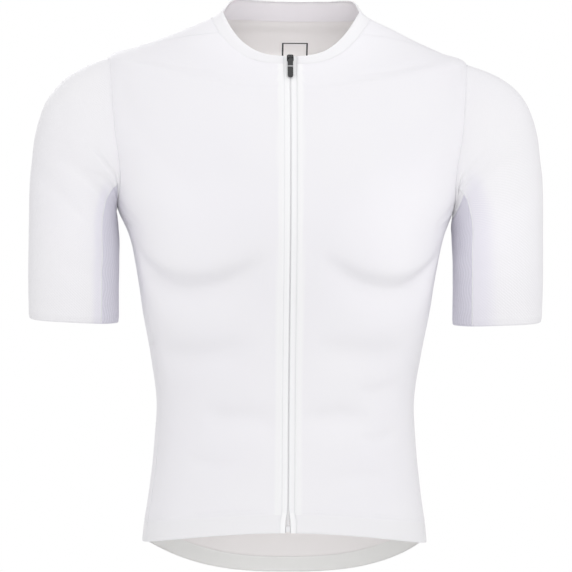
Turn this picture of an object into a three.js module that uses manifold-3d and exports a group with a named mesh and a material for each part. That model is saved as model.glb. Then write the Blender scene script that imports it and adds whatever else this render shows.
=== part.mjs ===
// A short-sleeved cycling jersey with a full-length zip, filled out as it is when it is worn.
// Millimetres. +Z is up, -Y is the front and +X is the wearer's left. The origin lies between
// the shoulders, level with the seam where the shoulders meet the collar.
// The cloth is one surface of rings, cut along its seams into the pieces that a maker sews.
import * as THREE from "three";
import { mergeVertices } from "three/addons/utils/BufferGeometryUtils.js";
import Module from "manifold-3d";

const wasm = await Module();
wasm.setup();

// Cloth and seams
const clothWall = 1.5;
const seamGap = 0.3;

// Places along the torso, measured up the side from the hem
const hemSeamAt = 22;
const armpitAt = 385;
const shoulderTipAt = 530;
const neckSeamAt = 640;
const collarTopAt = 660;

// How finely each stretch is cut into faces
const bodyRows = 21;
const armholeRows = 15;
const shoulderRows = 5;
const collarRows = 2;
const frontColumns = 11;
const backColumns = 20;
const columnsToEvenRows = 4;
const sleeveRings = 13;
const underarmColumns = 3;
const rodSides = 16;
const cornerSegments = 5;

// Rings of the torso. middle is how far behind the origin the widest point lies, and
// squareness is 2 for an ellipse and more for a squarer ring. A ring falls or rises from its
// side to its front and back, and the higher its turnFront or turnBack, the nearer to the side
// it does so.
const torsoRing = tableReader(
  [
    "along",
    "halfWidth",
    "front",
    "back",
    "middle",
    "squareness",
    "zFront",
    "zSide",
    "zBack",
    "turnFront",
    "turnBack",
  ],
  [
    [0, 159, 113, 112, 2, 2.3, -563, -583, -631, 2, 3.2],
    [22, 157, 112.5, 110, 2, 2.3, -541, -561, -608, 2, 3.2],
    [60, 151.5, 111, 104, 2, 2.3, -503, -523, -561, 2, 3.2],
    [105, 146.5, 109, 96, 2, 2.3, -463, -478, -503, 2, 3],
    [155, 144, 107, 91, 2, 2.3, -420, -428, -443, 2, 2.5],
    [205, 150.5, 108, 94, 2, 2.3, -377, -379, -387, 2, 2],
    [255, 159.5, 113, 101, 3, 2.3, -330, -330, -333, 2, 2],
    [300, 167, 119, 108, 4, 2.3, -285, -285, -286, 2, 2],
    [345, 176, 122, 113, 5, 2.35, -240, -241, -241, 2, 2],
    [385, 190, 119, 117, 5, 2.4, -200, -200, -200, 2, 2],
    [455, 214, 108, 115, 4, 2.4, -140, -122, -122, 2, 2],
    [530, 200, 88, 94, 2, 2.3, -88, -44, -54, 2, 2],
    [560, 171, 83.5, 85.5, -1, 2.25, -79.5, -33, -37, 2.2, 2],
    [590, 141, 79, 76.5, -4, 2.2, -71, -22.5, -22, 2.5, 3],
    [615, 115, 74.8, 66.5, -7, 2.15, -63, -11, -8, 2.8, 4],
    [640, 89, 71, 56, -9, 2.1, -56, 0.5, 5, 3, 6],
    [660, 77, 67, 47, -11, 2.05, -46.5, 9, 26.5, 3, 11],
  ],
);

// The seam between front and back, in degrees round the ring from the centre front:
// up the side, then along the shoulder
const frontBackSeam = tableReader(
  ["along", "degrees"],
  [
    [0, 72],
    [255, 72],
    [385, 80],
    [530, 84],
    [590, 74],
    [640, 60],
    [660, 58],
  ],
);

// How far the armhole opens to each side of that seam, in degrees
const armholeForward = 25;
const armholeBackward = 40;

// Rings of the sleeve, from the armhole down to the cuff. The inner point lies at the
// armpit side and the outer one over the shoulder and down the arm.
const sleeveRing = tableReader(
  ["along", "xInner", "zInner", "xOuter", "zOuter", "middle", "halfDepth", "seamDegrees"],
  [
    [0, 186, -200, 200, -44, 5, 61, 36],
    [30, 186, -204, 228, -55, 5, 63, 38],
    [58, 186.5, -209, 252, -70, 4, 62, 41],
    [85, 187, -216, 270, -95, 3, 60, 44],
    [115, 187, -226, 281, -130, 2, 57, 47],
    [160, 187, -243, 287, -180, 1, 54, 50],
    [210, 187, -270, 288, -232, 0, 52.5, 49],
    [260, 187, -302, 288, -285, -1, 51.5, 49],
    [310, 187, -342, 287, -338, -2, 51, 49],
  ],
);
const cuffAt = 310;
const armholeFadesAt = 115;

// The largest folds of the front: soft troughs, each an arc that rises by bow at its ends
const frontFolds = namedRows(
  ["along", "degrees", "halfLength", "width", "depth", "bow", "tilt"],
  [
    [290, 41, 78, 19, 4.5, 26, 0],
    [216, 33, 62, 17, 2, 6, -6],
    [140, 36, 56, 16, 2.2, -5, 9],
  ],
);
const millimetresPerDegree = 2.6;

// Zip. The two tapes lie behind the fronts and meet at the centre, and the coil is behind them.
// They part round the slider's post and at the zip's foot.
const frontEdgeX = 7.2;
const tapeOuterX = 13.5;
const tapeMeetX = 0.2;
const tapePartedX = 1.3;
const tapeFootX = 2.4;
const tapeThickness = 1;
const coilHalfWidth = 2.4;
const coilThickness = 1.4;

// The retainer box stands between the tapes at the foot, a little proud of them
const boxStart = 1.5;
const boxHeight = 6;
const boxWidth = 4.2;
const boxProud = 0.6;
const coilAboveBox = 0.5;

// The slider's two plates hold the tapes and the coil between them
const sliderBelowTop = 1;
const sliderLength = 9;
const sliderWidth = 7.4;
const sliderPlate = 1.1;
const sliderCorner = 2.2;
const postLength = 2;
const postWidth = 1.6;
const postInset = 0.6;
const coilBelowSlider = 2;

// Pull tab, hung on a cross bar between two lugs of the slider
const barRadius = 0.7;
const barHeight = 2.5;
const barY = 0.4;
const lugLength = 3.4;
const lugThickness = 1;
const lugAboveBar = 0.5;
const eyeClearance = 0.3;
const eyeWall = 0.9;
const tabWidth = 6;
const tabThickness = 1.4;
const tabCorner = 2.4;
const tabReach = 25;
const bladeBelowLugs = 1;

// How far pieces that are joined into one reach into each other
const joinDepth = 0.1;

// Back pocket panel, from the hem band up, in rows and columns of the back that it covers
const pocketTopRow = 9;
const pocketInsetColumns = 4;
const pocketWall = 1.2;

const colours = {
  cloth: { color: 0xf1f1f3, roughness: 0.62, metalness: 0 },
  mesh: { color: 0xd9d9e6, roughness: 0.8, metalness: 0 },
  band: { color: 0xededf0, roughness: 0.7, metalness: 0 },
  tape: { color: 0xf4f4f6, roughness: 0.75, metalness: 0 },
  coil: { color: 0xc9c9cf, roughness: 0.5, metalness: 0 },
  zipBox: { color: 0xdcdce0, roughness: 0.4, metalness: 0 },
  slider: { color: 0x2b2b2e, roughness: 0.35, metalness: 0.9 },
  pullTab: { color: 0x1d1d20, roughness: 0.45, metalness: 0.2 },
};

// Table reading

function namedRows(columns, rows) {
  return rows.map((row) => Object.fromEntries(columns.map((name, i) => [name, row[i]])));
}

// Reads a table at any place along it. Each column is a smooth curve through its rows.
function tableReader(columns, rows) {
  const slope = (k, c) => {
    const below = rows[Math.max(k - 1, 0)];
    const above = rows[Math.min(k + 1, rows.length - 1)];
    return (above[c] - below[c]) / (above[0] - below[0]);
  };
  return (along) => {
    let k = 0;
    while (k < rows.length - 2 && along > rows[k + 1][0]) k += 1;
    const span = rows[k + 1][0] - rows[k][0];
    const t = (along - rows[k][0]) / span;
    const found = {};
    columns.forEach((name, c) => {
      const start = rows[k][c] * (1 + 2 * t) * (1 - t) ** 2;
      const end = rows[k + 1][c] * (3 - 2 * t) * t ** 2;
      const leaving = slope(k, c) * span * t * (1 - t) ** 2;
      const arriving = slope(k + 1, c) * span * (t - 1) * t ** 2;
      found[name] = start + end + leaving + arriving;
    });
    return found;
  };
}

const radians = THREE.MathUtils.degToRad;

function steps(from, to, count) {
  return Array.from({ length: count + 1 }, (_, i) => from + ((to - from) * i) / count);
}

// Torso surface

function torsoForm(along, degrees) {
  const ring = torsoRing(along);
  const sine = Math.sin(radians(degrees));
  const cosine = Math.cos(radians(degrees));
  const power = ring.squareness;
  const round = (Math.abs(sine) ** power + Math.abs(cosine) ** power) ** (-1 / power);
  const depth = cosine > 0 ? ring.front + ring.middle : ring.back - ring.middle;
  const zEnd = cosine > 0 ? ring.zFront : ring.zBack;
  const turn = cosine > 0 ? ring.turnFront : ring.turnBack;
  return new THREE.Vector3(
    ring.halfWidth * sine * round,
    ring.middle - depth * cosine * round,
    zEnd + (ring.zSide - zEnd) * Math.abs(sine) ** turn,
  );
}

// The unit direction into the garment at a point of a surface given as a function of two places
function inwardOf(surface, a, b, stepA, stepB) {
  const alongA = surface(a + stepA, b).sub(surface(a - stepA, b));
  const alongB = surface(a, b + stepB).sub(surface(a, b - stepB));
  return alongA.cross(alongB).normalize();
}

function foldDepth(along, degrees) {
  const side = degrees > 180 ? 360 - degrees : degrees;
  return frontFolds.reduce((sum, fold) => {
    const across = (side - fold.degrees) * millimetresPerDegree;
    const share = across / fold.halfLength;
    if (Math.abs(share) >= 1) return sum;
    const arc = fold.bow * share ** 2 + Math.tan(radians(fold.tilt)) * across;
    const away = (along - fold.along - arc) / fold.width;
    return sum + fold.depth * (1 - share ** 2) ** 2 * Math.exp(-(away ** 2));
  }, 0);
}

// A point of the cloth's outer face, with the direction into the garment
function torsoCloth(along, degrees) {
  const inward = inwardOf(torsoForm, along, degrees, 0.5, 0.2);
  const point = torsoForm(along, degrees).addScaledVector(inward, foldDepth(along, degrees));
  return { point, inward };
}

// The armhole is an oval in the torso's rings. Point 0 is at the armpit, and the points run
// up the front edge to the shoulder tip and down the back edge.
const armholePoints = 2 * armholeRows;

function armholePlace(index) {
  const turn = (Math.PI * index) / armholeRows;
  const along = armpitAt + ((shoulderTipAt - armpitAt) * (1 - Math.cos(turn))) / 2;
  const opening = Math.sin(turn) * (turn < Math.PI ? armholeForward : armholeBackward);
  return { along, degrees: frontBackSeam(along).degrees - opening };
}

const armholeLoop = Array.from({ length: armholePoints }, (_, i) => {
  const place = armholePlace(i);
  return torsoForm(place.along, place.degrees);
});
const armholeMiddle = armholeLoop
  .reduce((sum, point) => sum.add(point), new THREE.Vector3())
  .divideScalar(armholePoints);

// Torso and sleeve share one direction at the armhole: straight to the oval's middle
function armholeInward(point) {
  return new THREE.Vector3(0, armholeMiddle.y - point.y, armholeMiddle.z - point.z).normalize();
}

// Sleeve surface, for the wearer's left

function sleeveTurn(column, ring) {
  const seam = radians(ring.seamDegrees);
  const fromInner = Math.min(column, armholePoints - column);
  const rest = (fromInner - underarmColumns) / (armholeRows - underarmColumns);
  const turn =
    fromInner <= underarmColumns
      ? (seam * fromInner) / underarmColumns
      : seam + (Math.PI - seam) * rest;
  return column <= armholeRows ? turn : 2 * Math.PI - turn;
}

function plainSleeve(along, column) {
  const ring = sleeveRing(along);
  const turn = sleeveTurn(column, ring);
  const outwards = (1 - Math.cos(turn)) / 2;
  return new THREE.Vector3(
    ring.xInner + (ring.xOuter - ring.xInner) * outwards,
    ring.middle - ring.halfDepth * Math.sin(turn),
    ring.zInner + (ring.zOuter - ring.zInner) * outwards,
  );
}

function sleeveForm(along, column) {
  const index = (column + armholePoints) % armholePoints;
  const fade = 1 - THREE.MathUtils.smoothstep(along, 0, armholeFadesAt);
  const offset = armholeLoop[index].clone().sub(plainSleeve(0, index));
  return plainSleeve(along, index).addScaledVector(offset, fade);
}

function sleeveCloth(along, column) {
  const point = sleeveForm(along, column);
  if (along === 0) return { point, inward: armholeInward(point) };
  const down = sleeveForm(along + 0.5, column).sub(sleeveForm(along - 0.5, column));
  const round = sleeveForm(along, column + 1).sub(sleeveForm(along, column - 1));
  return { point, inward: round.cross(down).normalize() };
}

// Walls

// Moves one face of a cloth point into the garment
function layer(cloth, depth, thickness) {
  return {
    outer: cloth.point.clone().addScaledVector(cloth.inward, depth),
    inner: cloth.point.clone().addScaledVector(cloth.inward, depth + thickness),
  };
}

// Draws a grid's four edges in by half a seam gap, so that it stands clear of its neighbours
function drawnIn(grid) {
  const lastRow = grid.length - 1;
  const lastColumn = grid[0].length - 1;
  const at = (r, c) => grid[Math.min(Math.max(r, 0), lastRow)][Math.min(Math.max(c, 0), lastColumn)];
  const inside = (r, c, stepR, stepC) => {
    const away = at(r + stepR, c + stepC).outer.clone().sub(at(r, c).outer);
    const edge = at(r + stepC, c + stepR).outer.clone().sub(at(r - stepC, c - stepR).outer);
    return away.projectOnPlane(edge.normalize()).setLength(seamGap / 2);
  };
  return grid.map((row, r) =>
    row.map(({ outer, inner }, c) => {
      const move = new THREE.Vector3();
      if (r === 0) move.add(inside(r, c, 1, 0));
      if (r === lastRow) move.add(inside(r, c, -1, 0));
      if (c === 0) move.add(inside(r, c, 0, 1));
      if (c === lastColumn) move.add(inside(r, c, 0, -1));
      return { outer: outer.clone().add(move), inner: inner.clone().add(move) };
    }),
  );
}

function signedVolume(points, faces) {
  return faces.reduce((sum, [a, b, c]) => {
    const normal = points[b].clone().cross(points[c]);
    return sum + points[a].dot(normal) / 6;
  }, 0);
}

// A closed wall from a grid of outer and inner points, rows by columns
function wallGeometry(grid) {
  const rows = grid.length;
  const columns = grid[0].length;
  const points = [...grid.flat().map((p) => p.outer), ...grid.flat().map((p) => p.inner)];
  const outer = (r, c) => r * columns + c;
  const inner = (r, c) => rows * columns + r * columns + c;
  const faces = [];
  const quad = (a, b, c, d) => {
    const shorter = points[a].distanceTo(points[c]) <= points[b].distanceTo(points[d]);
    faces.push(...(shorter ? [[a, b, c], [a, c, d]] : [[b, c, d], [b, d, a]]));
  };
  for (let r = 0; r < rows - 1; r += 1) {
    for (let c = 0; c < columns - 1; c += 1) {
      quad(outer(r, c), outer(r, c + 1), outer(r + 1, c + 1), outer(r + 1, c));
      quad(inner(r, c), inner(r + 1, c), inner(r + 1, c + 1), inner(r, c + 1));
    }
    const end = columns - 1;
    quad(outer(r, 0), outer(r + 1, 0), inner(r + 1, 0), inner(r, 0));
    quad(outer(r, end), inner(r, end), inner(r + 1, end), outer(r + 1, end));
  }
  for (let c = 0; c < columns - 1; c += 1) {
    const end = rows - 1;
    quad(outer(0, c), inner(0, c), inner(0, c + 1), outer(0, c + 1));
    quad(outer(end, c), outer(end, c + 1), inner(end, c + 1), inner(end, c));
  }
  if (signedVolume(points, faces) < 0) faces.forEach((face) => face.reverse());
  const geometry = new THREE.BufferGeometry().setFromPoints(points);
  geometry.setIndex(faces.flat());
  return geometry;
}

function flipped(v) {
  return new THREE.Vector3(-v.x, v.y, v.z);
}

function mirrored(grid) {
  return grid.map((row) => row.map((p) => ({ outer: flipped(p.outer), inner: flipped(p.inner) })));
}

const jersey = new THREE.Group();

function addMesh(name, geometry, colour, parent = jersey) {
  geometry.computeVertexNormals();
  const mesh = new THREE.Mesh(geometry, new THREE.MeshStandardMaterial(colours[colour]));
  mesh.name = name;
  parent.add(mesh);
}

function addWall(name, grid, colour) {
  return addMesh(name, wallGeometry(drawnIn(grid)), colour);
}

function addPair(name, grid, colour) {
  addWall(`${name}_left`, grid, colour);
  addWall(`${name}_right`, mirrored(grid), colour);
}

// Fronts and back

// Every row has its place along the torso. Beside the armhole, a row's outer end is a point of
// the armhole, and the row eases from there to its own place within a few columns.
const panelRows = [
  ...steps(hemSeamAt, armpitAt, bodyRows).slice(0, -1),
  ...steps(armpitAt, shoulderTipAt, armholeRows),
  ...steps(shoulderTipAt, neckSeamAt, shoulderRows).slice(1),
];
const hemRows = [0, hemSeamAt];
const collarPlaces = steps(neckSeamAt, collarTopAt, collarRows);

// The cloth of one row, from its outer end to lastDegrees. side is 1 for the front and -1 for
// the back.
function clothRow(along, side, lastDegrees, columns) {
  const index = panelRows.indexOf(along) - bodyRows;
  const atArmhole = index >= 0 && index <= armholeRows;
  const armholeIndex = side > 0 ? index : armholePoints - index;
  const edge = atArmhole
    ? armholePlace(armholeIndex)
    : { along, degrees: frontBackSeam(along).degrees };
  return steps(edge.degrees, lastDegrees, columns).map((degrees, c) => {
    const own = THREE.MathUtils.smoothstep(c, 0, columnsToEvenRows);
    const cloth = torsoCloth(edge.along + (along - edge.along) * own, degrees);
    if (atArmhole && c === 0) cloth.inward = armholeInward(cloth.point);
    return cloth;
  });
}

function mirroredCloth({ point, inward }) {
  return { point: flipped(point), inward: flipped(inward) };
}

// At a small distance x from the centre front
function degreesAtX(along, x) {
  return THREE.MathUtils.radToDeg(Math.atan(x / torsoRing(along).halfWidth));
}

// One row of the left front, from the seam to the zip
function frontRow(along) {
  return clothRow(along, 1, degreesAtX(along, frontEdgeX), frontColumns);
}

// One row of the back, from the wearer's left seam round to the right
function backRow(along) {
  const left = clothRow(along, -1, 180, backColumns / 2);
  return [...left, ...left.slice(0, -1).reverse().map(mirroredCloth)];
}

function gridOf(clothRows, depth = 0, thickness = clothWall) {
  return clothRows.map((row) => row.map((cloth) => layer(cloth, depth, thickness)));
}

addPair("front", gridOf(panelRows.map(frontRow)), "cloth");
addPair("hem_front", gridOf(hemRows.map(frontRow)), "band");
addWall("back", gridOf(panelRows.map(backRow)), "cloth");
addWall("hem_back", gridOf(hemRows.map(backRow)), "band");

// The collar is one strip from zip to zip, standing on the neck seam
function collarRow(along) {
  const left = frontRow(along).slice(1).reverse();
  return [...left, ...backRow(along), ...left.map(mirroredCloth).reverse()];
}

addWall("collar", gridOf(collarPlaces.map(collarRow)), "band");

// The pocket panel lies on the back and is made from its points, moved out
const pocketRows = panelRows
  .slice(0, pocketTopRow + 1)
  .map((along) => backRow(along).slice(pocketInsetColumns, backColumns + 1 - pocketInsetColumns));
addWall("back_pockets", gridOf(pocketRows, -seamGap - pocketWall, pocketWall), "cloth");

// Sleeves, each an outer panel and an underarm panel

function sleeveGrid(firstColumn, lastColumn) {
  const columns = steps(firstColumn, lastColumn, lastColumn - firstColumn);
  return gridOf(
    steps(0, cuffAt, sleeveRings).map((along) => columns.map((column) => sleeveCloth(along, column))),
  );
}

addPair("sleeve", sleeveGrid(underarmColumns, armholePoints - underarmColumns), "cloth");
addPair("underarm", sleeveGrid(-underarmColumns, underarmColumns), "mesh");

// Zip tapes and coil

const sliderAt = collarTopAt - sliderBelowTop - sliderLength / 2;
const coilTopAt = sliderAt - sliderLength / 2 - coilBelowSlider;
const coilFootAt = boxStart + boxHeight + coilAboveBox;
const tapeDepth = clothWall + seamGap;
const coilDepth = tapeDepth + tapeThickness + seamGap;

// A point near the centre front, x to the left of it
function zipCloth(along, x) {
  return torsoCloth(along, degreesAtX(along, x));
}

function tapeInnerX(along) {
  if (along > neckSeamAt) return tapePartedX;
  return along < hemSeamAt ? tapeFootX : tapeMeetX;
}

const zipRows = [0, hemSeamAt / 2, ...panelRows, ...collarPlaces.slice(1)];
const tapeRows = zipRows.map((along) =>
  [tapeInnerX(along), frontEdgeX, tapeOuterX].map((x) => zipCloth(along, x)),
);
addPair("zip_tape", gridOf(tapeRows, tapeDepth, tapeThickness), "tape");

const coilPlaces = zipRows.filter((along) => along > coilFootAt && along < coilTopAt);
const coilRows = [coilFootAt, ...coilPlaces, coilTopAt].map((along) => {
  const edge = zipCloth(along, coilHalfWidth);
  return [mirroredCloth(edge), zipCloth(along, 0), edge];
});
addWall("zip_coil", gridOf(coilRows, coilDepth, coilThickness), "coil");

// Hard pieces of the zip

function solidOf(geometry) {
  const plain = new THREE.BufferGeometry();
  plain.setAttribute("position", geometry.getAttribute("position"));
  plain.setIndex(geometry.getIndex());
  const merged = mergeVertices(plain, 1e-4);
  return new wasm.Manifold(
    new wasm.Mesh({
      numProp: 3,
      vertProperties: merged.attributes.position.array,
      triVerts: new Uint32Array(merged.index.array),
    }),
  );
}

function geometryOf(solid) {
  const { vertProperties, triVerts } = solid.getMesh();
  const geometry = new THREE.BufferGeometry();
  geometry.setAttribute("position", new THREE.BufferAttribute(vertProperties, 3));
  geometry.setIndex(new THREE.BufferAttribute(triVerts, 1));
  return geometry;
}

// A block from its sizes and the middle of it
function block(width, length, height, x, y, z) {
  return solidOf(new THREE.BoxGeometry(width, length, height).translate(x, y, z));
}

// A flat plate with round corners, lying in XY with its lowest face at z
function roundedPlate(width, length, height, corner, y, z) {
  const w = width / 2;
  const l = length / 2;
  const outline = new THREE.Shape();
  outline.absarc(w - corner, l - corner, corner, 0, Math.PI / 2);
  outline.absarc(corner - w, l - corner, corner, Math.PI / 2, Math.PI);
  outline.absarc(corner - w, corner - l, corner, Math.PI, 1.5 * Math.PI);
  outline.absarc(w - corner, corner - l, corner, 1.5 * Math.PI, 2 * Math.PI);
  const options = { depth: height, bevelEnabled: false, curveSegments: cornerSegments };
  return solidOf(new THREE.ExtrudeGeometry(outline, options).translate(0, y, z));
}

// A round rod along X
function rodAcross(radius, length, y, z) {
  const rod = new THREE.CylinderGeometry(radius, radius, length, rodSides).rotateZ(Math.PI / 2);
  return solidOf(rod.translate(0, y, z));
}

// A frame on the zip's middle line: X across, Y up along the zip and Z out of the cloth
function zipFrame(along) {
  const { point, inward } = zipCloth(along, 0);
  const out = inward.clone().negate();
  const across = new THREE.Vector3(1, 0, 0);
  const up = out.clone().cross(across).normalize();
  const frame = new THREE.Group();
  frame.matrix.makeBasis(across, up, out).setPosition(point);
  frame.matrix.decompose(frame.position, frame.quaternion, frame.scale);
  jersey.add(frame);
  return frame;
}

// The slider sits at the collar's top, its post between the parted tapes
const sliderFrame = zipFrame(sliderAt);
const topPlateZ = seamGap - tapeDepth;
const topPlateFace = topPlateZ + sliderPlate;
const bottomPlateZ = -coilDepth - coilThickness - seamGap - sliderPlate;
const eyeHalfLength = tabWidth / 2 - lugThickness - eyeClearance;

function sliderSolid() {
  const lugX = tabWidth / 2 - lugThickness / 2;
  const lugTop = barHeight + barRadius + lugAboveBar;
  const lugFoot = topPlateFace - joinDepth;
  const lugHeight = lugTop - lugFoot;
  const lug = (side) =>
    block(lugThickness, lugLength, lugHeight, side * lugX, barY, lugFoot + lugHeight / 2);
  const postFoot = bottomPlateZ + joinDepth;
  const postHeight = topPlateFace - joinDepth - postFoot;
  const postY = sliderLength / 2 - postInset - postLength / 2;
  return roundedPlate(sliderWidth, sliderLength, sliderPlate, sliderCorner, 0, topPlateZ)
    .add(roundedPlate(sliderWidth, sliderLength, sliderPlate, sliderCorner, 0, bottomPlateZ))
    .add(block(postWidth, postLength, postHeight, 0, postY, postFoot + postHeight / 2))
    .add(lug(1))
    .add(lug(-1))
    .add(rodAcross(barRadius, 2 * lugX, barY, barHeight));
}

addMesh("zip_slider", geometryOf(sliderSolid()), "slider", sliderFrame);

// The tab hangs down from the bar, clear of the lugs and of the cloth
function pullTabSolid() {
  const hole = barRadius + eyeClearance;
  const eye = rodAcross(hole + eyeWall, 2 * eyeHalfLength, barY, barHeight);
  const bore = rodAcross(hole, 4 * eyeHalfLength, barY, barHeight);
  const bladeTop = barY - lugLength / 2 - bladeBelowLugs;
  const bladeLength = tabReach - (barY - bladeTop);
  const bladeY = bladeTop - bladeLength / 2;
  const neckTop = barY - hole;
  const neckLength = neckTop - bladeTop + tabCorner;
  const neckY = neckTop - neckLength / 2;
  return roundedPlate(tabWidth, bladeLength, tabThickness, tabCorner, bladeY, barHeight - tabThickness / 2)
    .add(block(2 * eyeHalfLength, neckLength, tabThickness, 0, neckY, barHeight))
    .add(eye)
    .subtract(bore);
}

addMesh("pull_tab", geometryOf(pullTabSolid()), "pullTab", sliderFrame);

// The retainer box closes the zip's foot
const boxFrame = zipFrame(boxStart + boxHeight / 2);
const boxFace = boxProud - tapeDepth;
const boxThickness = boxFace + coilDepth + coilThickness;
const boxGeometry = new THREE.BoxGeometry(boxWidth, boxHeight, boxThickness);
boxGeometry.translate(0, 0, boxFace - boxThickness / 2);
addMesh("zip_box", boxGeometry, "zipBox", boxFrame);

export default jersey;
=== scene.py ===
# %% [markdown]
# # A short-sleeved cycling jersey, filled out as it is worn
#
# The frame already holds every sewn piece as a plain closed wall, in its place. This lesson
# gives each piece its looks: thin knitted cloth with soft folds, seams with real threads, a
# zip with teeth, and a black slider. The cloth is white on white, so nearly all that shows is
# form. That is why most cells are about shape, and only a few about colour.

import math

import bpy
import numpy as np
from mathutils import Matrix, Vector


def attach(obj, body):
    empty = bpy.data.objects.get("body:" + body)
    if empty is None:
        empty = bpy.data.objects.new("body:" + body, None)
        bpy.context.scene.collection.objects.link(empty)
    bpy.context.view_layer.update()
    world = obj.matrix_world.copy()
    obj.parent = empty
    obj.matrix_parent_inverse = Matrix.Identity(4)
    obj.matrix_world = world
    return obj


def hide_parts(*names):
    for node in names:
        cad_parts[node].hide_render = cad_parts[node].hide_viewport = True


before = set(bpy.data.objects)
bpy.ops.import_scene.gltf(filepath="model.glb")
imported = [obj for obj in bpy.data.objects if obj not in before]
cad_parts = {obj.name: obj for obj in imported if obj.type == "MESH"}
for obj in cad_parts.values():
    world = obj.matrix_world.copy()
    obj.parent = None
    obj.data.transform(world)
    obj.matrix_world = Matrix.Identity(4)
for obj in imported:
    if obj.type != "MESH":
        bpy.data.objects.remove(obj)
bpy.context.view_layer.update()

# %% [markdown]
# ## The figure that the cloth fills out
#
# A worn jersey is a tube over a trunk, with two smaller tubes let into it. It could be
# sculpted, but then its seams would be hard to find again. Here it is a stack of rings, read
# from a short table. Each ring says how wide and deep the cloth is there, and how far its
# front and back drop below its side, which is how a neckline and a dropped tail come about.
# Lengths are in millimetres and become metres when a mesh is made. +Z is up, -Y is the front.

# %% Tables of rings
MM = 0.001

TORSO_RINGS = [
    # along, half width, front, back, middle, squareness, z front, side, back, turn front, back
    [0, 159, 113, 112, 2, 2.3, -563, -583, -631, 2, 2.8],
    [22, 157, 112.5, 110, 2, 2.3, -541, -561, -608, 2, 2.8],
    [60, 151.5, 111, 104, 2, 2.3, -503, -523, -561, 2, 3.2],
    [105, 146.5, 109, 96, 2, 2.3, -463, -478, -503, 2, 3],
    [155, 144, 107, 91, 2, 2.3, -420, -428, -443, 2, 2.5],
    [205, 150.5, 108, 94, 2, 2.3, -377, -379, -387, 2, 2],
    [255, 159.5, 113, 101, 3, 2.3, -330, -330, -333, 2, 2],
    [300, 167, 119, 108, 4, 2.3, -285, -285, -286, 2, 2],
    [345, 176, 122, 113, 5, 2.35, -240, -241, -241, 2, 2],
    [385, 190, 119, 117, 5, 2.4, -200, -200, -200, 2, 2],
    [455, 214, 108, 115, 4, 2.4, -140, -122, -122, 2, 2],
    [530, 200, 88, 94, 2, 2.3, -88, -44, -54, 2, 2],
    [560, 171, 83.5, 85.5, -1, 2.25, -79.5, -33, -37, 2.2, 2],
    [590, 141, 79, 76.5, -4, 2.2, -71, -22.5, -22, 2.5, 3],
    [615, 115, 74.8, 66.5, -7, 2.15, -63, -11, -8, 2.8, 4],
    [640, 89, 71, 56, -9, 2.1, -56, 0.5, 5, 3, 6],
    [660, 77, 67, 47, -11, 2.05, -46.5, 9, 26.5, 3, 16],
]
FRONT_BACK_SEAM = [
    # along, degrees from the centre front
    [0, 72],
    [255, 72],
    [385, 80],
    [530, 84],
    [590, 74],
    [640, 60],
    [660, 58],
]
SLEEVE_RINGS = [
    # along, x inner, z inner, x outer, z outer, middle, half depth, degrees of the panel seam
    [0, 186, -200, 200, -44, 5, 61, 36],
    [30, 186, -204, 228, -55, 5, 63, 38],
    [58, 186.5, -209, 252, -70, 4, 62, 41],
    [85, 187, -216, 270, -95, 3, 60, 44],
    [115, 187, -226, 281, -130, 2, 57, 47],
    [160, 187, -243, 287, -180, 1, 54, 50],
    [210, 187, -270, 288, -232, 0, 52.5, 49],
    [260, 187, -302, 288, -285, -1, 51.5, 49],
    [310, 187, -342, 287, -338, -2, 51, 49],
]
HEM_SEAM_AT = 22
ARMPIT_AT = 385
SHOULDER_TIP_AT = 530
NECK_SEAM_AT = 640
COLLAR_TOP_AT = 660
CUFF_AT = 310
ARMHOLE_FORWARD = 25
ARMHOLE_BACKWARD = 40
ARMHOLE_FADES_AT = 115


def read_table(rows, along):
    """Every column at the places in along, each a smooth curve through its rows."""
    rows = np.array(rows, float)
    along = np.asarray(along, float)
    below = np.vstack([rows[:1], rows[:-1]])
    above = np.vstack([rows[1:], rows[-1:]])
    slope = (above - below) / (above[:, :1] - below[:, :1])
    k = np.clip(np.searchsorted(rows[:, 0], along) - 1, 0, len(rows) - 2)
    span = (rows[k + 1, 0] - rows[k, 0])[..., None]
    t = (along - rows[k, 0])[..., None] / span
    start = rows[k] * (1 + 2 * t) * (1 - t) ** 2
    end = rows[k + 1] * (3 - 2 * t) * t**2
    leaving = slope[k] * span * t * (1 - t) ** 2
    arriving = slope[k + 1] * span * (t - 1) * t**2
    return np.moveaxis(start + end + leaving + arriving, -1, 0)


def smooth(value, start, end):
    """0 before start, 1 after end, and an S-curve between them."""
    t = np.clip((value - start) / (end - start), 0, 1)
    return t * t * (3 - 2 * t)


def unit(vectors):
    return vectors / np.linalg.norm(vectors, axis=-1, keepdims=True)


def inward_of(surface, a, b, step_a, step_b):
    """The direction into the garment at each point of a surface."""
    along_a = surface(a + step_a, b) - surface(a - step_a, b)
    along_b = surface(a, b + step_b) - surface(a, b - step_b)
    return unit(np.cross(along_a, along_b))


def torso_form(along, degrees):
    """A point of the torso. Degrees run from the centre front to the wearer's left."""
    along, degrees = np.broadcast_arrays(np.asarray(along, float), np.asarray(degrees, float))
    _, half, front, back, middle, power, z_front, z_side, z_back, turn_front, turn_back = (
        read_table(TORSO_RINGS, along)
    )
    sine = np.sin(np.radians(degrees))
    cosine = np.cos(np.radians(degrees))
    front_edge_shadow = cosine > 0
    reach = (np.abs(sine) ** power + np.abs(cosine) ** power) ** (-1 / power)
    depth = np.where(front_edge_shadow, front + middle, back - middle)
    z_end = np.where(front_edge_shadow, z_front, z_back)
    turn = np.where(front_edge_shadow, turn_front, turn_back)
    x = half * sine * reach
    y = middle - depth * cosine * reach
    z = z_end + (z_side - z_end) * np.abs(sine) ** turn
    return np.stack([x, y, z], -1)


def degrees_at_x(along, x):
    """The place on a ring a small distance x to the left of the centre front."""
    return np.degrees(np.arctan(x / read_table(TORSO_RINGS, along)[1]))


print("waist:", round(2 * read_table(TORSO_RINGS, 155)[1]), "mm across")
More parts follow.
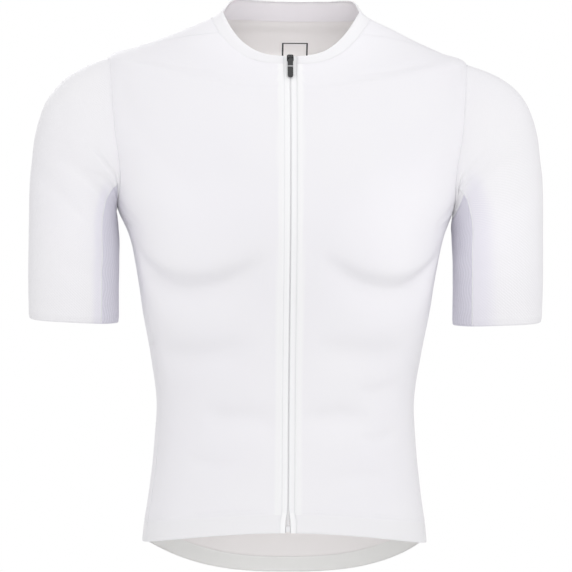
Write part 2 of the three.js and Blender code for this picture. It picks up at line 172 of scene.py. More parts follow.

# %% [markdown]
# ## Folds placed one by one
#
# Close-fitting knit has few folds, and they are shallow: two arcs under the chest, faint
# shallows across the front, and short creases where the sleeve turns under the arm. A cloth
# simulation would put others in their place, so each is a row of a table instead: a soft
# trough with a place, a half length, a width, a depth, a bow that lifts its ends, and a tilt.
# The two sides differ a little, as they do on any real garment. The back has folds of the
# same kind across the small of the back and below the collar.

# %% Tables of folds
TORSO_FOLDS = [
    # along, degrees, half length, width above, width below, depth, bow, tilt
    [283, 42, 85, 12, 26, 13.2, 38, 1],
    [283, -39, 86, 12.5, 28, 12.6, 38, -1],
    [213, 31, 60, 14, 22, 3.7, 5, -3],
    [209, -38, 64, 13, 22, 3.9, 7, 5],
    [135, 22, 46, 14, 22, 3.9, -4, 4],
    [132, -20, 50, 14, 22, 3.5, -3, -6],
    [168, 41, 34, 10, 16, 2.4, 4, 10],
    [112, 41, 30, 7, 10, 1.4, 5, 14],
    [78, -33, 34, 8, 10, 1.1, 6, -12],
    [66, 30, 38, 9, 12, 1.0, -5, 8],
    [222, -76, 34, 4, 6, 2.0, 4, 12],
    [190, 73, 36, 6, 8, 1.3, 5, -10],
    [372, 69, 26, 4, 5, 1.5, 3, 38],
    [360, 72, 30, 4, 6, 1.3, 4, 26],
    [370, -70, 28, 4, 5, 1.4, 3, -40],
    [357, -74, 32, 5, 6, 1.2, 5, -24],
    [455, 47, 46, 16, 19, 0.8, 4, 58],
    [448, -45, 50, 17, 20, 0.9, 3, -60],
    [560, 44, 50, 8, 10, 0.8, 5, -20],
    [556, -48, 48, 8, 10, 0.9, 6, 22],
    [150, 163, 58, 8, 12, 2.6, 6, 5],
    [171, 196, 70, 8, 13, 3.0, 7, -4],
    [196, 158, 66, 9, 16, 5.2, -5, 7],
    [219, 203, 60, 9, 17, 4.8, 6, -8],
    [244, 174, 84, 10, 20, 5.0, 9, 2],
    [128, 205, 40, 7, 9, 1.5, -5, 9],
    [330, 138, 66, 12, 24, 5.6, 12, 30],
    [322, 224, 68, 13, 25, 6.0, 11, -32],
    [420, 128, 50, 9, 15, 4.0, 5, 50],
    [412, 233, 54, 10, 16, 3.8, 5, -53],
    [520, 170, 74, 13, 22, 2.8, -9, 6],
    [562, 192, 62, 10, 15, 2.2, -7, -5],
    [204, 104, 46, 8, 12, 3.2, 5, 14],
    [198, -108, 44, 8, 12, 3.0, 4, -16],
]
SLEEVE_FOLDS_LEFT = [
    # the same, with degrees round the sleeve from the armpit
    [26, 38, 30, 4, 5, 1.7, 3, 22],
    [38, 50, 36, 4, 6, 1.5, 4, 30],
    [54, 46, 34, 5, 7, 1.2, 5, 40],
    [30, 30, 22, 7, 9, 1.9, 2, 20],
    [48, 22, 22, 7, 9, 2.2, 3, 12],
    [68, 24, 20, 7, 9, 1.8, 2, 8],
    [92, 74, 44, 10, 13, 1.3, 6, 18],
    [168, 96, 52, 12, 15, 1.1, 7, -9],
    [236, 70, 48, 11, 14, 1.0, -6, 8],
    [60, 150, 58, 14, 18, 1.2, 8, -14],
    [140, 205, 60, 12, 15, 1.4, 7, 12],
    [212, 250, 50, 10, 13, 1.2, 5, -10],
    [40, 312, 40, 5, 7, 1.7, 4, -28],
    [66, 300, 42, 7, 9, 1.4, 5, -36],
]
SLEEVE_FOLDS_RIGHT = [
    [24, 34, 32, 4, 5, 1.6, 3, 18],
    [40, 54, 34, 5, 6, 1.6, 4, 34],
    [58, 42, 38, 5, 7, 1.3, 5, 44],
    [44, 20, 22, 8, 10, 1.4, 2, 14],
    [70, 14, 20, 9, 11, 1.3, 2, 10],
    [104, 80, 48, 11, 14, 1.3, 6, 14],
    [156, 112, 54, 11, 14, 1.2, 6, -12],
    [244, 64, 46, 12, 15, 1.0, -5, 6],
    [68, 160, 62, 13, 17, 1.1, 9, -10],
    [150, 214, 56, 11, 14, 1.5, 6, 15],
    [205, 262, 52, 11, 14, 1.1, 6, -8],
    [44, 318, 38, 6, 7, 1.6, 4, -24],
    [72, 296, 44, 7, 9, 1.4, 5, -40],
]
TORSO_MM_PER_DEGREE = 2.6
SLEEVE_MM_PER_DEGREE = 1.05
WAVE_HEIGHT = 0.35


def fold_depth(folds, along, degrees, mm_per_degree):
    """How far the folds draw the cloth in at each place."""
    total = 0
    for fold_along, fold_degrees, half_length, above, below, depth, bow, tilt in folds:
        across = ((degrees - fold_degrees + 180) % 360 - 180) * mm_per_degree
        share = across / half_length
        arc = bow * share**2 + math.tan(math.radians(tilt)) * across
        away = along - fold_along - arc
        away = away / np.where(away > 0, above, below)
        fade = np.where(np.abs(share) < 1, (1 - share**4) ** 2, 0)
        total = total + depth * fade * np.exp(-(away**2))
    return total


def soft_waves(along, across):
    """The slight unevenness of cloth that nothing holds flat."""
    slow = np.sin(along / 31 + across / 47 + 0.6) * np.sin(across / 29 - along / 83)
    quick = np.sin(along / 13.7 - across / 23 + 2.1) * np.sin(across / 17.3 + along / 41 + 0.9)
    return WAVE_HEIGHT * (slow + 0.4 * quick)


print(len(TORSO_FOLDS), "folds on the torso and", len(SLEEVE_FOLDS_LEFT), "on each sleeve")

# %% [markdown]
# ## Armholes and sleeves
#
# The armhole is an oval cut in the torso's rings. Its front edge opens less than its back
# edge, because an arm reaches forward. The sleeve starts on that same oval, point for point,
# so that the two edges can be sewn together, and the difference fades out down the arm.

# %% Armhole and sleeve surfaces
def armhole_place(turn):
    """Where the armhole's edge lies: turn 0 at the armpit, pi at the shoulder tip."""
    along = ARMPIT_AT + (SHOULDER_TIP_AT - ARMPIT_AT) * (1 - np.cos(turn)) / 2
    opening = np.where(np.sin(turn) > 0, ARMHOLE_FORWARD, ARMHOLE_BACKWARD) * np.sin(turn)
    return along, read_table(FRONT_BACK_SEAM, along)[1] - opening


armhole_loop = torso_form(*armhole_place(np.linspace(0, 2 * np.pi, 121)[:-1]))
armhole_middle = armhole_loop.mean(0)
both_loops = np.vstack([armhole_loop, armhole_loop * np.array([-1, 1, 1])])[::2]


def armhole_inward(points):
    """Torso and sleeve share one direction at the armhole: straight to the oval's middle."""
    away = armhole_middle - points
    away[..., 0] = 0
    return unit(away)


# Folds fade out over the first of these distances from the armhole. Over the second one, the
# torso's cloth and the sleeve's come to share one direction.
SEAM_STAYS = 14
SHARED_EDGE = 8
HEM_NARROWER_FRONT = 2.5
HEM_NARROWER_BACK = 5
HEM_SHIFT_REACH = 11


def hem_seam_shift(degrees):
    """The hem bands are narrower at the centre front and at the centre back."""
    cosine = np.cos(np.radians(degrees))
    return cosine**2 * np.where(cosine > 0, HEM_NARROWER_FRONT, HEM_NARROWER_BACK)


def torso_cloth(along, degrees):
    """The outer face of the torso's cloth with its folds, and the direction into it."""
    along, degrees = np.broadcast_arrays(np.asarray(along, float), np.asarray(degrees, float))
    near_seam = np.exp(-(((along - HEM_SEAM_AT) / HEM_SHIFT_REACH) ** 2))
    along = along - hem_seam_shift(degrees) * near_seam
    point = torso_form(along, degrees)
    inward = inward_of(torso_form, along, degrees, 0.5, 0.2)
    depth = fold_depth(TORSO_FOLDS, along, degrees, TORSO_MM_PER_DEGREE)
    depth = depth + soft_waves(along, degrees * TORSO_MM_PER_DEGREE)
    gap = np.linalg.norm(point[..., None, :] - both_loops, axis=-1).min(-1)
    depth = depth * smooth(gap, 0, SEAM_STAYS)
    shared = (1 - smooth(gap, 0, SHARED_EDGE))[..., None]
    inward = unit(armhole_inward(point) * shared + inward * (1 - shared))
    return point + inward * depth[..., None], inward


UNDERARM_HALF = 3
SLEEVE_HALF = 15


def sleeve_turn(column, seam_degrees):
    """Columns run from the armpit round the front, 15 of them to the outer side of the arm."""
    column = column % (2 * SLEEVE_HALF)
    from_inner = np.minimum(column, 2 * SLEEVE_HALF - column)
    seam = np.radians(seam_degrees)
    rest = (from_inner - UNDERARM_HALF) / (SLEEVE_HALF - UNDERARM_HALF)
    under = seam * from_inner / UNDERARM_HALF
    over = seam + (np.pi - seam) * rest
    turn = np.where(from_inner <= UNDERARM_HALF, under, over)
    return np.where(column <= SLEEVE_HALF, turn, 2 * np.pi - turn)


def plain_sleeve(along, column):
    _, x_inner, z_inner, x_outer, z_outer, middle, half_depth, seam = read_table(
        SLEEVE_RINGS, along
    )
    turn = sleeve_turn(column, seam)
    outwards = (1 - np.cos(turn)) / 2
    x = x_inner + (x_outer - x_inner) * outwards
    y = middle - half_depth * np.sin(turn)
    z = z_inner + (z_outer - z_inner) * outwards
    return np.stack([x, y, z], -1)


def sleeve_form(along, column):
    """A point of the wearer's left sleeve, from the armhole down to the cuff."""
    along, column = np.broadcast_arrays(np.asarray(along, float), np.asarray(column, float))
    fade = 1 - smooth(along, 0, ARMHOLE_FADES_AT)
    turn = np.pi * (column % (2 * SLEEVE_HALF)) / SLEEVE_HALF
    offset = torso_form(*armhole_place(turn)) - plain_sleeve(np.zeros_like(along), column)
    return plain_sleeve(along, column) + offset * fade[..., None]


CUFF_TURN = 9
CUFF_DRAW = 1.6
CUFF_LIFT = 1.5


def sleeve_cloth(along, column, folds):
    """The outer face of a sleeve's cloth, drawn in a little at its cuff."""
    along, column = np.broadcast_arrays(np.asarray(along, float), np.asarray(column, float))
    inward = -inward_of(sleeve_form, along, column, 0.5, 0.5)
    degrees = np.degrees(sleeve_turn(column, read_table(SLEEVE_RINGS, along)[7]))
    depth = fold_depth(folds, along, degrees, SLEEVE_MM_PER_DEGREE)
    depth = depth + soft_waves(along, degrees * SLEEVE_MM_PER_DEGREE)
    depth = depth * smooth(along, 0, SEAM_STAYS)
    at_cuff = np.clip((along - CUFF_AT + CUFF_TURN) / CUFF_TURN, 0, 1)
    depth = depth + CUFF_DRAW * at_cuff**3
    point = sleeve_form(along, column)
    shared = (1 - smooth(along, 0, SHARED_EDGE))[..., None]
    inward = unit(armhole_inward(point) * shared + inward * (1 - shared))
    point = point + inward * depth[..., None]
    side = np.abs(np.cos(np.radians(degrees))) ** 6
    point[..., 2] += CUFF_LIFT * side * at_cuff**2
    return point, inward


print("armhole's middle:", np.round(armhole_middle, 1), "mm")

# %% [markdown]
# ## From points to cloth
#
# Each piece is a grid of points with a direction into the garment. The grid's outer face is
# moved in by the cloth's thickness to give the inner face, and the two are joined round the
# rim. A Solidify modifier would do nearly the same, but here both pieces of a seam can share
# one direction, so that their rims meet. The UV map holds real lengths, measured along the
# cloth, and every knit pattern below is drawn on it in real loops per millimetre.

# %% How the cloth settles
# Each row: middle x, y, z of a soft zone, its reach, and how far the cloth moves there.
SETTLED = [
    [197, 2, -46, 46, 0, 0, -4.2],
    [-204, 2, -50, 36, 0, 0, -0.8],
    [184, 4, -206, 34, -3, 0, -11],
    [-186, 4, -206, 32, -2, 0, -5.5],
]
# The backs of the neck and of the hem lie this far to the wearer's left.
NECK_TURN = 6.5
HEM_TURN = 6.0


def settle(points):
    """The small ways in which the worn cloth isn't the same on both sides."""
    moved = points.copy()
    for x, y, z, reach, dx, dy, dz in SETTLED:
        away = np.linalg.norm(points - np.array([x, y, z]), axis=-1) / reach
        moved = moved + np.exp(-(away**2))[..., None] * np.array([dx, dy, dz])
    x, y, z = np.moveaxis(points, -1, 0)
    at_neck = smooth(z, -150, -48) * (1 - smooth(np.abs(x), 90, 170)) * smooth(y, -58, 40)
    at_hem = (1 - smooth(z, -600, -460)) * smooth(y, 0, 110)
    moved[..., 0] += NECK_TURN * at_neck + HEM_TURN * at_hem
    return moved


print(len(SETTLED), "zones settle by up to", max(abs(row[6]) for row in SETTLED), "mm")

# %% Grids, seams and shells
SEAM_DIP = 0.14
SEAM_REACH = 1.3
EDGE_STEPS = np.array([0, 0.45, 0.95, 1.6, 2.5, 3.8, 5.6])


def spaced(start, end, step):
    """Places about step apart, and closer beside both ends, where the seams are."""
    last = EDGE_STEPS[-1]
    count = max(2, round((end - start - 2 * last) / step) + 1)
    inner = np.linspace(start + last, end - last, count)
    return np.concatenate([start + EDGE_STEPS[:-1], inner, end - EDGE_STEPS[:-1][::-1]])


def run(points, axis):
    """How far each point lies along its row or column, measured on the cloth."""
    steps = np.linalg.norm(np.diff(points, axis=axis), axis=-1)
    start = np.zeros_like(np.take(steps, [0], axis))
    return np.concatenate([start, np.cumsum(steps, axis)], axis)


def from_side(points, side):
    """How far each point lies from one side of its grid."""
    if side in ("first column", "last column"):
        across = run(points, 1)
        return across if side == "first column" else across[:, -1:] - across
    down = run(points, 0)
    return down if side == "first row" else down[-1:] - down


def seamed(points, inward, sides, depth=SEAM_DIP, reach=SEAM_REACH):
    """Draws the cloth in beside the named sides, as the threads of a seam do."""
    total = sum(np.exp(-((from_side(points, side) / reach) ** 2)) for side in sides)
    return points + inward * (depth * np.minimum(total, 1))[..., None]


def grid_faces(rows, columns):
    index = np.arange(rows * columns).reshape(rows, columns)
    corners = [index[:-1, :-1], index[:-1, 1:], index[1:, 1:], index[1:, :-1]]
    return np.stack(corners, -1).reshape(-1, 4)


def rim_loop(rows, columns):
    """The grid's outer points in order round its rim."""
    index = np.arange(rows * columns).reshape(rows, columns)
    sides = [index[0, :-1], index[:-1, -1], index[-1, :0:-1], index[:0:-1, 0]]
    return np.concatenate(sides)


def mesh_of(name, points, faces, uv=None, part_of_face=None, attributes=None):
    """A smooth mesh from points in millimetres and faces of four corners."""
    mesh = bpy.data.meshes.new(name)
    mesh.vertices.add(len(points))
    mesh.vertices.foreach_set("co", (settle(points) * MM).astype(np.float32).ravel())
    mesh.loops.add(faces.size)
    mesh.loops.foreach_set("vertex_index", faces.astype(np.int32).ravel())
    mesh.polygons.add(len(faces))
    mesh.polygons.foreach_set("loop_start", np.arange(0, faces.size, faces.shape[1]))
    if part_of_face is not None:
        mesh.polygons.foreach_set("material_index", part_of_face.astype(np.int32))
    mesh.update(calc_edges=True)
    if uv is not None:
        layer = mesh.uv_layers.new(name="cloth")
        layer.data.foreach_set("uv", (uv[faces.ravel()] * MM).astype(np.float32).ravel())
    for attribute, values in (attributes or {}).items():
        stored = mesh.attributes.new(attribute, "FLOAT", "POINT")
        stored.data.foreach_set("value", values.astype(np.float32).ravel())
    mesh.shade_smooth()
    mesh.set_sharp_from_angle(angle=math.radians(55))
    return mesh


def add_object(name, mesh, materials):
    piece = bpy.data.objects.new(name, mesh)
    bpy.context.scene.collection.objects.link(piece)
    for material in materials:
        mesh.materials.append(material)
    return piece


def shell(name, points, inward, thickness, materials, attributes=None, uv_start=None):
    """A closed piece of cloth from the grid of its outer face. The second material is inside."""
    rows, columns = points.shape[:2]
    thickness = np.broadcast_to(np.asarray(thickness, float), (rows, columns))
    inner = points + inward * thickness[..., None]
    count = rows * columns
    outer_faces = grid_faces(rows, columns)
    a, b, c, _ = (points.reshape(-1, 3)[outer_faces[:, k]] for k in range(4))
    outward = -inward.reshape(-1, 3)[outer_faces[:, 0]]
    if np.sum(np.cross(b - a, c - a) * outward) < 0:
        outer_faces = outer_faces[:, ::-1]
        rim = rim_loop(rows, columns)
    else:
        rim = rim_loop(rows, columns)[::-1]
    after = np.roll(rim, -1)
    rim_faces = np.stack([rim, after, after + count, rim + count], -1)
    inner_faces = outer_faces[:, ::-1] + count
    faces = np.vstack([outer_faces, rim_faces, inner_faces])
    part = np.r_[np.zeros(len(outer_faces) + len(rim_faces)), np.ones(len(inner_faces))]
    across = run(points, 1)
    down = run(points, 0)
    middle = columns // 2 if uv_start is None else uv_start
    uv = np.stack([across - across[:, [middle]], down[:, [middle]] + 0 * across], -1)
    both = {k: np.tile(v.ravel(), 2) for k, v in (attributes or {}).items()}
    flat_points = np.vstack([points.reshape(-1, 3), inner.reshape(-1, 3)])
    flat_uv = np.tile(uv.reshape(-1, 2), (2, 1))
    mesh = mesh_of(name, flat_points, faces, flat_uv, part, both)
    return add_object(name, mesh, materials)


def finish_cloth(piece, points, node, body="garment"):
    """Puts a piece of cloth in the place of its solid, and hides the solid."""
    width = run(points, 1)[:, -1].max() * MM
    length = run(points, 0)[-1].max() * MM
    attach(piece, body)
    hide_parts(node)
    return piece


# %% [markdown]
# ## Node helpers
#
# A finish is built from shader nodes. Small helpers keep each one short: the first adds a
# node and joins what is given to its inputs, the second adds a step of arithmetic, and the
# last makes a whole finish out of two close colours in a fine grain.

# %% Helpers for shader nodes
GRAIN_HEIGHT = 0.05 * MM


def add_node(tree, kind, inputs=None, **settings):
    node = tree.nodes.new(kind)
    for name, value in settings.items():
        setattr(node, name, value)
    for name, value in (inputs or {}).items():
        if isinstance(value, bpy.types.NodeSocket):
            tree.links.new(value, node.inputs[name])
        else:
            node.inputs[name].default_value = value
    return node


def calc(tree, operation, *values):
    inputs = dict(enumerate(values))
    return add_node(tree, "ShaderNodeMath", inputs, operation=operation).outputs[0]


def blend_colours(tree, share, first, second):
    """The first colour where share is 0, and the second where it is 1."""
    node = add_node(tree, "ShaderNodeMix", data_type="RGBA")
    sockets = (node.inputs[0], node.inputs[6], node.inputs[7])
    for socket, value in zip(sockets, (share, first, second)):
        if isinstance(value, bpy.types.NodeSocket):
            tree.links.new(value, socket)
        else:
            socket.default_value = value if isinstance(value, float) else (*value, 1)
    return node.outputs[2]


def new_finish(name, roughness, metallic=0.0, sheen=0.0, coat=0.0):
    """A material whose even values sit on its shader. Returned with its tree and shader."""
    material = bpy.data.materials.new(name)
    material.use_nodes = True
    tree = material.node_tree
    shader = tree.nodes["Principled BSDF"]
    shader.inputs["Roughness"].default_value = roughness
    shader.inputs["Metallic"].default_value = metallic
    shader.inputs["Sheen Weight"].default_value = sheen
    shader.inputs["Sheen Roughness"].default_value = 0.45
    shader.inputs["Coat Weight"].default_value = coat
    return material, tree, shader


def set_bump(tree, shader, height, strength, distance):
    inputs = {"Height": height, "Strength": strength, "Distance": distance}
    bump = add_node(tree, "ShaderNodeBump", inputs)
    tree.links.new(bump.outputs[0], shader.inputs["Normal"])


def noise(tree, vector, scale, detail=2.0):
    inputs = {"Vector": vector, "Scale": scale, "Detail": detail}
    return add_node(tree, "ShaderNodeTexNoise", inputs).outputs["Fac"]


def object_place(tree):
    return add_node(tree, "ShaderNodeTexCoord").outputs["Object"]


def cloth_place(tree):
    """The two lengths along the cloth, in metres, from the piece's UV map."""
    uv = add_node(tree, "ShaderNodeUVMap", uv_map="cloth").outputs[0]
    split = add_node(tree, "ShaderNodeSeparateXYZ", {0: uv})
    return split.outputs[0], split.outputs[1]


def marked(tree, attribute):
    """The value that a piece's mesh stores at each point under this name."""
    return add_node(tree, "ShaderNodeAttribute", attribute_name=attribute).outputs["Fac"]


def ripple(tree, place, length):
    return calc(tree, "SINE", calc(tree, "MULTIPLY", place, 2 * math.pi / length))


def grained_finish(name, roughness, first, second, scale, detail=2.0, bump=0.0, **gloss):
    """A finish of two close colours in a fine grain."""
    material, tree, shader = new_finish(name, roughness, **gloss)
    grain = noise(tree, object_place(tree), scale, detail)
    tree.links.new(blend_colours(tree, grain, first, second), shader.inputs["Base Color"])
    if bump:
        set_bump(tree, shader, grain, bump, GRAIN_HEIGHT)
    return material


# %% [markdown]
# ## Knit
#
# Under a glass, plain knit is columns of small V-shaped loops. One column is one wale, and
# one row of loops is one course. The V comes from a wave that runs up the cloth and is
# delayed towards the column's edges, and the gaps between loops get a little painted shade.
# Sleeves are a dimpled knit: a lattice of small hollows, painted darker as shade, which show
# as faint specks. The panel under the arm is an open mesh: the same lattice, but closer, with
# painted shade where it is open, and fine ribs that wander down it, with painted shade
# between them. Holes that small are left to the finish, since cut holes would take millions
# of faces.

# %% Knit patterns
def knit_loops(tree, wale, course):
    """A height of 0 to 1 for columns of loops."""
    u, v = cloth_place(tree)
    column = calc(tree, "FRACT", calc(tree, "DIVIDE", u, wale))
    from_middle = calc(tree, "ABSOLUTE", calc(tree, "SUBTRACT", column, 0.5))
    leaning = calc(tree, "ADD", calc(tree, "DIVIDE", v, course), from_middle)
    wave = ripple(tree, leaning, 1)
    body = calc(tree, "COSINE", calc(tree, "MULTIPLY", from_middle, math.pi))
    return calc(tree, "MULTIPLY", calc(tree, "MULTIPLY_ADD", wave, 0.3, 0.7), body)


def lattice_spots(tree, across, up, radius, softness):
    """1 inside the spots of a diamond lattice and 0 between them."""
    u, v = cloth_place(tree)
    nearest = None
    for shift in (0.0, 0.5):
        parts = []
        for place, pitch in ((u, across), (v, up)):
            cell = calc(tree, "ADD", calc(tree, "DIVIDE", place, pitch), shift)
            offset = calc(tree, "SUBTRACT", calc(tree, "FRACT", cell), 0.5)
            length = calc(tree, "MULTIPLY", offset, pitch)
            parts.append(calc(tree, "MULTIPLY", length, length))
        away = calc(tree, "SQRT", calc(tree, "ADD", *parts))
        nearest = away if nearest is None else calc(tree, "MINIMUM", nearest, away)
    inputs = {
        "Value": nearest,
        "From Min": radius,
        "From Max": radius + softness,
        "To Min": 1.0,
        "To Max": 0.0,
    }
    return add_node(tree, "ShaderNodeMapRange", inputs).outputs[0]


WALE = 0.85 * MM
COURSE = 0.7 * MM
KNIT_RELIEF = 0.2 * MM
GAP_SHADE = 0.06
RIB_SHADE = 0.3
RIB_WANDER = 2.2 * MM
RIB_WANDER_LENGTH = 34 * MM


def knit_finish(
    name, light, shade, roughness=0.62, bump=0.25, spots=None, ribs=None, double=None, mesh_side_shade_colour=None
):
    """Knitted cloth, with painted shade in the gaps between its loops. Spots are hollows in a
    lattice, and ribs wavy lines, both with painted shade. Double is the colour where two layers
    meet, and the last colour a painted shade beside the underarm mesh, dappled by the spots."""
    material, tree, shader = new_finish(name, roughness, sheen=0.12)
    loops = knit_loops(tree, WALE, COURSE)
    blotches = noise(tree, object_place(tree), 7.0)
    colour = blend_colours(tree, blotches, light, shade)
    # Painted shade: the gaps between loops, and below the hollows between ribs, get a darker copy
    # of the knit's colour.
    gaps = calc(tree, "MULTIPLY", calc(tree, "SUBTRACT", 1.0, loops), GAP_SHADE)
    loop_and_rib_shade = tuple(0.6 * value for value in light)
    colour = blend_colours(tree, gaps, colour, loop_and_rib_shade)
    height = loops
    if ribs:
        u, v = cloth_place(tree)
        wander = calc(tree, "MULTIPLY", ripple(tree, v, RIB_WANDER_LENGTH), RIB_WANDER)
        rib = ripple(tree, calc(tree, "ADD", u, wander), ribs)
        rib = calc(tree, "MULTIPLY_ADD", rib, 0.5, 0.5)
        hollow = calc(tree, "MULTIPLY", calc(tree, "SUBTRACT", 1.0, rib), RIB_SHADE)
        colour = blend_colours(tree, hollow, colour, loop_and_rib_shade)
        height = calc(tree, "MULTIPLY_ADD", rib, 2.0, height)
    if spots:
        # The spots' colour is painted shade in the hollows and in the mesh's openings.
        across, up, radius, softness, darkness, spot_shade_colour = spots
        spot = lattice_spots(tree, across, up, radius, softness)
        colour = blend_colours(tree, calc(tree, "MULTIPLY", spot, darkness), colour, spot_shade_colour)
        height = calc(tree, "SUBTRACT", height, calc(tree, "MULTIPLY", spot, 2.0))
    if double:
        colour = blend_colours(tree, marked(tree, "double"), colour, double)
    # Painted shade beside the underarm mesh, in lilac, dappled by the spots.
    if mesh_side_shade_colour:
        dapple = calc(tree, "MULTIPLY_ADD", spot, 0.6, 0.4)
        share = calc(tree, "MULTIPLY", marked(tree, "mesh_side_shade"), dapple)
        colour = blend_colours(tree, share, colour, mesh_side_shade_colour)
    tree.links.new(colour, shader.inputs["Base Color"])
    set_bump(tree, shader, height, bump, KNIT_RELIEF)
    return material


body_knit = knit_finish(
    "white body knit", (0.868, 0.860, 0.880), (0.838, 0.824, 0.868), double=(0.878, 0.875, 0.888)
)
# The spots and the lilac colour beside the mesh are painted shade.
sleeve_knit = knit_finish(
    "white dimpled sleeve knit",
    (0.872, 0.864, 0.880),
    (0.840, 0.828, 0.866),
    spots=(3.7 * MM, 3.7 * MM, 0.5 * MM, 0.5 * MM, 0.06, (0.55, 0.54, 0.6)),
    mesh_side_shade_colour=(0.74, 0.72, 0.81),
)
# The mesh's dark spots are painted shade where it is open.
underarm_mesh = knit_finish(
    "lilac grey open mesh",
    (0.88, 0.865, 0.95),
    (0.83, 0.81, 0.91),
    roughness=0.75,
    bump=0.5,
    spots=(1.9 * MM, 2.6 * MM, 0.42 * MM, 0.3 * MM, 0.45, (0.30, 0.29, 0.36)),
    ribs=4.2 * MM,
    double=(0.868, 0.860, 0.880),
)
band_knit = knit_finish("white firm band", (0.848, 0.842, 0.858), (0.828, 0.82, 0.848), bump=0.18)
# The inner faces are copies of the knit: the body's and the hem's painted lighter, and the collar's
# painted darker, to stand in for the light and shade inside the garment.
inside_knit_painted_light = knit_finish(
    "inner face of the knit, painted lighter", (0.935, 0.91, 0.905), (0.91, 0.88, 0.88), roughness=0.75
)
inside_hem_painted_light = knit_finish(
    "inner face of the hem, painted lighter", (0.875, 0.875, 0.86), (0.85, 0.85, 0.84), roughness=0.75
)
inside_collar_painted_shade = knit_finish(
    "inner face of the collar, painted shade", (0.81, 0.78, 0.81), (0.785, 0.755, 0.79), roughness=0.75
)
print("knit:", round(1 / WALE / 100), "wales and", round(1 / COURSE / 100), "courses a centimetre")

# %% [markdown]
# ## Fronts
#
# A front runs from the zip round to the side seam, and up to the shoulder and the neck. On
# the real jersey it is one piece of thin knit. Its edge beside the zip is turned under, which
# makes it thicker there, and the zip's tape behind it makes a strip that looks whiter, since
# less light gets through.

# %% Fronts
FRONT_EDGE_X = 7.2
FRONT_EDGE_PARTS = 1.8
TAPE_OUTER_X = 13.5
CLOTH = 0.9
TURNED_EDGE = 1.5
TURNED_WIDTH = 5
RIDGE = 0.18
RIDGE_FADES = (5.6, 7.4)
FRONT_WIDTH = 190
GRID_STEP = 3.6
BAND_STEP = 2.5
FRONT_ROUND = 0.6
EDGE_ROUND_REACH = 0.8
# The share of a panel's width over which its rows leave the edge that they are sewn to.
FRONT_EASE = 4 / 11
BACK_EASE = 4 / 10


def front_edge_x(along):
    """How far a front's edge lies from the centre. It gives way a little at the zip's foot."""
    return FRONT_EDGE_X + FRONT_EDGE_PARTS * (1 - smooth(along, 12, 27))


def row_end(along, side):
    """The outer end of each row: on the side or shoulder seam, or on the armhole's edge."""
    share = (along - ARMPIT_AT) / (SHOULDER_TIP_AT - ARMPIT_AT)
    at_armhole = (share > 0) & (share < 1)
    turn = np.pi * np.clip(share, 0, 1)
    edge_along, edge_degrees = armhole_place(turn if side > 0 else 2 * np.pi - turn)
    seam = read_table(FRONT_BACK_SEAM, along)[1]
    return np.where(at_armhole, edge_along, along), np.where(at_armhole, edge_degrees, seam)


def panel_places(rows, side, last_degrees, shares, ease):
    """A panel's places from its seam to last_degrees. side is 1 for a front, -1 for the back."""
    edge_along, edge_degrees = row_end(rows, side)
    own = smooth(shares, 0, ease)
    along = edge_along[:, None] + (rows - edge_along)[:, None] * own
    degrees = edge_degrees[:, None] + (last_degrees - edge_degrees)[:, None] * shares
    return along, degrees


lower_rows = spaced(HEM_SEAM_AT, ARMPIT_AT, GRID_STEP)
armhole_rows = np.linspace(ARMPIT_AT, SHOULDER_TIP_AT, 52)
upper_rows = spaced(SHOULDER_TIP_AT, NECK_SEAM_AT, GRID_STEP)
body_rows = np.unique(np.concatenate([lower_rows, armhole_rows, upper_rows]))
hem_rows = spaced(0, HEM_SEAM_AT, BAND_STEP)
front_shares = spaced(0, FRONT_WIDTH, GRID_STEP) / FRONT_WIDTH


def front_grid(rows, left_or_right):
    """A front's grid from its seam with the back to its edge beside the zip."""
    last = degrees_at_x(rows, front_edge_x(rows))
    along, degrees = panel_places(rows, 1, last, front_shares, FRONT_EASE)
    return torso_cloth(along, degrees * left_or_right)


def edge_thickness(points, side, plain, thick, reach):
    """Thicker beside one side, where the cloth is turned under."""
    return plain + (thick - plain) * (1 - smooth(from_side(points, side), reach, reach + 1.5))


def backed_by_tape(points):
    """1 within the strip that the zip's tape backs, and 0 beyond it."""
    width = TAPE_OUTER_X - FRONT_EDGE_X
    return 1 - smooth(from_side(points, "last column"), width - 0.6, width + 0.9)


for word, side in (("left", 1), ("right", -1)):
    points, inward = front_grid(body_rows, side)
    points = seamed(points, inward, ["first column", "first row", "last row"])
    points = seamed(points, inward, ["last column"], FRONT_ROUND, EDGE_ROUND_REACH)
    ridge = RIDGE * (1 - smooth(from_side(points, "last column"), *RIDGE_FADES))
    points = points - inward * ridge[..., None]
    piece = shell(
        f"front_{word}_cloth",
        points,
        inward,
        edge_thickness(points, "last column", CLOTH, TURNED_EDGE, TURNED_WIDTH),
        [body_knit, inside_knit_painted_light],
        {"double": backed_by_tape(points)},
        uv_start=len(front_shares) - 1,
    )
    finish_cloth(piece, points, f"front_{word}")

# %% [markdown]
# ## Back and pockets
#
# The back is one piece from side seam to side seam, longer than the fronts, so that it still
# covers a rider who leans forward. Its pockets are one panel laid on it and sewn down in
# three compartments. The panel follows the back's own surface, moved out, and each compartment
# stands out a little more towards its top.

# %% Back and back pockets
BACK_WIDTH = 260
BACK_STEP = 4.4


def back_grid(rows):
    """The back's grid from the wearer's left seam round to the right one."""
    shares = spaced(0, BACK_WIDTH, BACK_STEP) / BACK_WIDTH
    along, degrees = panel_places(rows, -1, 180.0, shares, BACK_EASE)
    along = np.hstack([along, along[:, -2::-1]])
    degrees = np.hstack([degrees, 360 - degrees[:, -2::-1]])
    return torso_cloth(along, degrees)


back_points, back_inward = back_grid(body_rows)
seam_sides = ["first column", "last column", "first row", "last row"]
points = seamed(back_points, back_inward, seam_sides)
piece = shell("back_cloth", points, back_inward, CLOTH, [body_knit, inside_knit_painted_light])
finish_cloth(piece, points, "back")

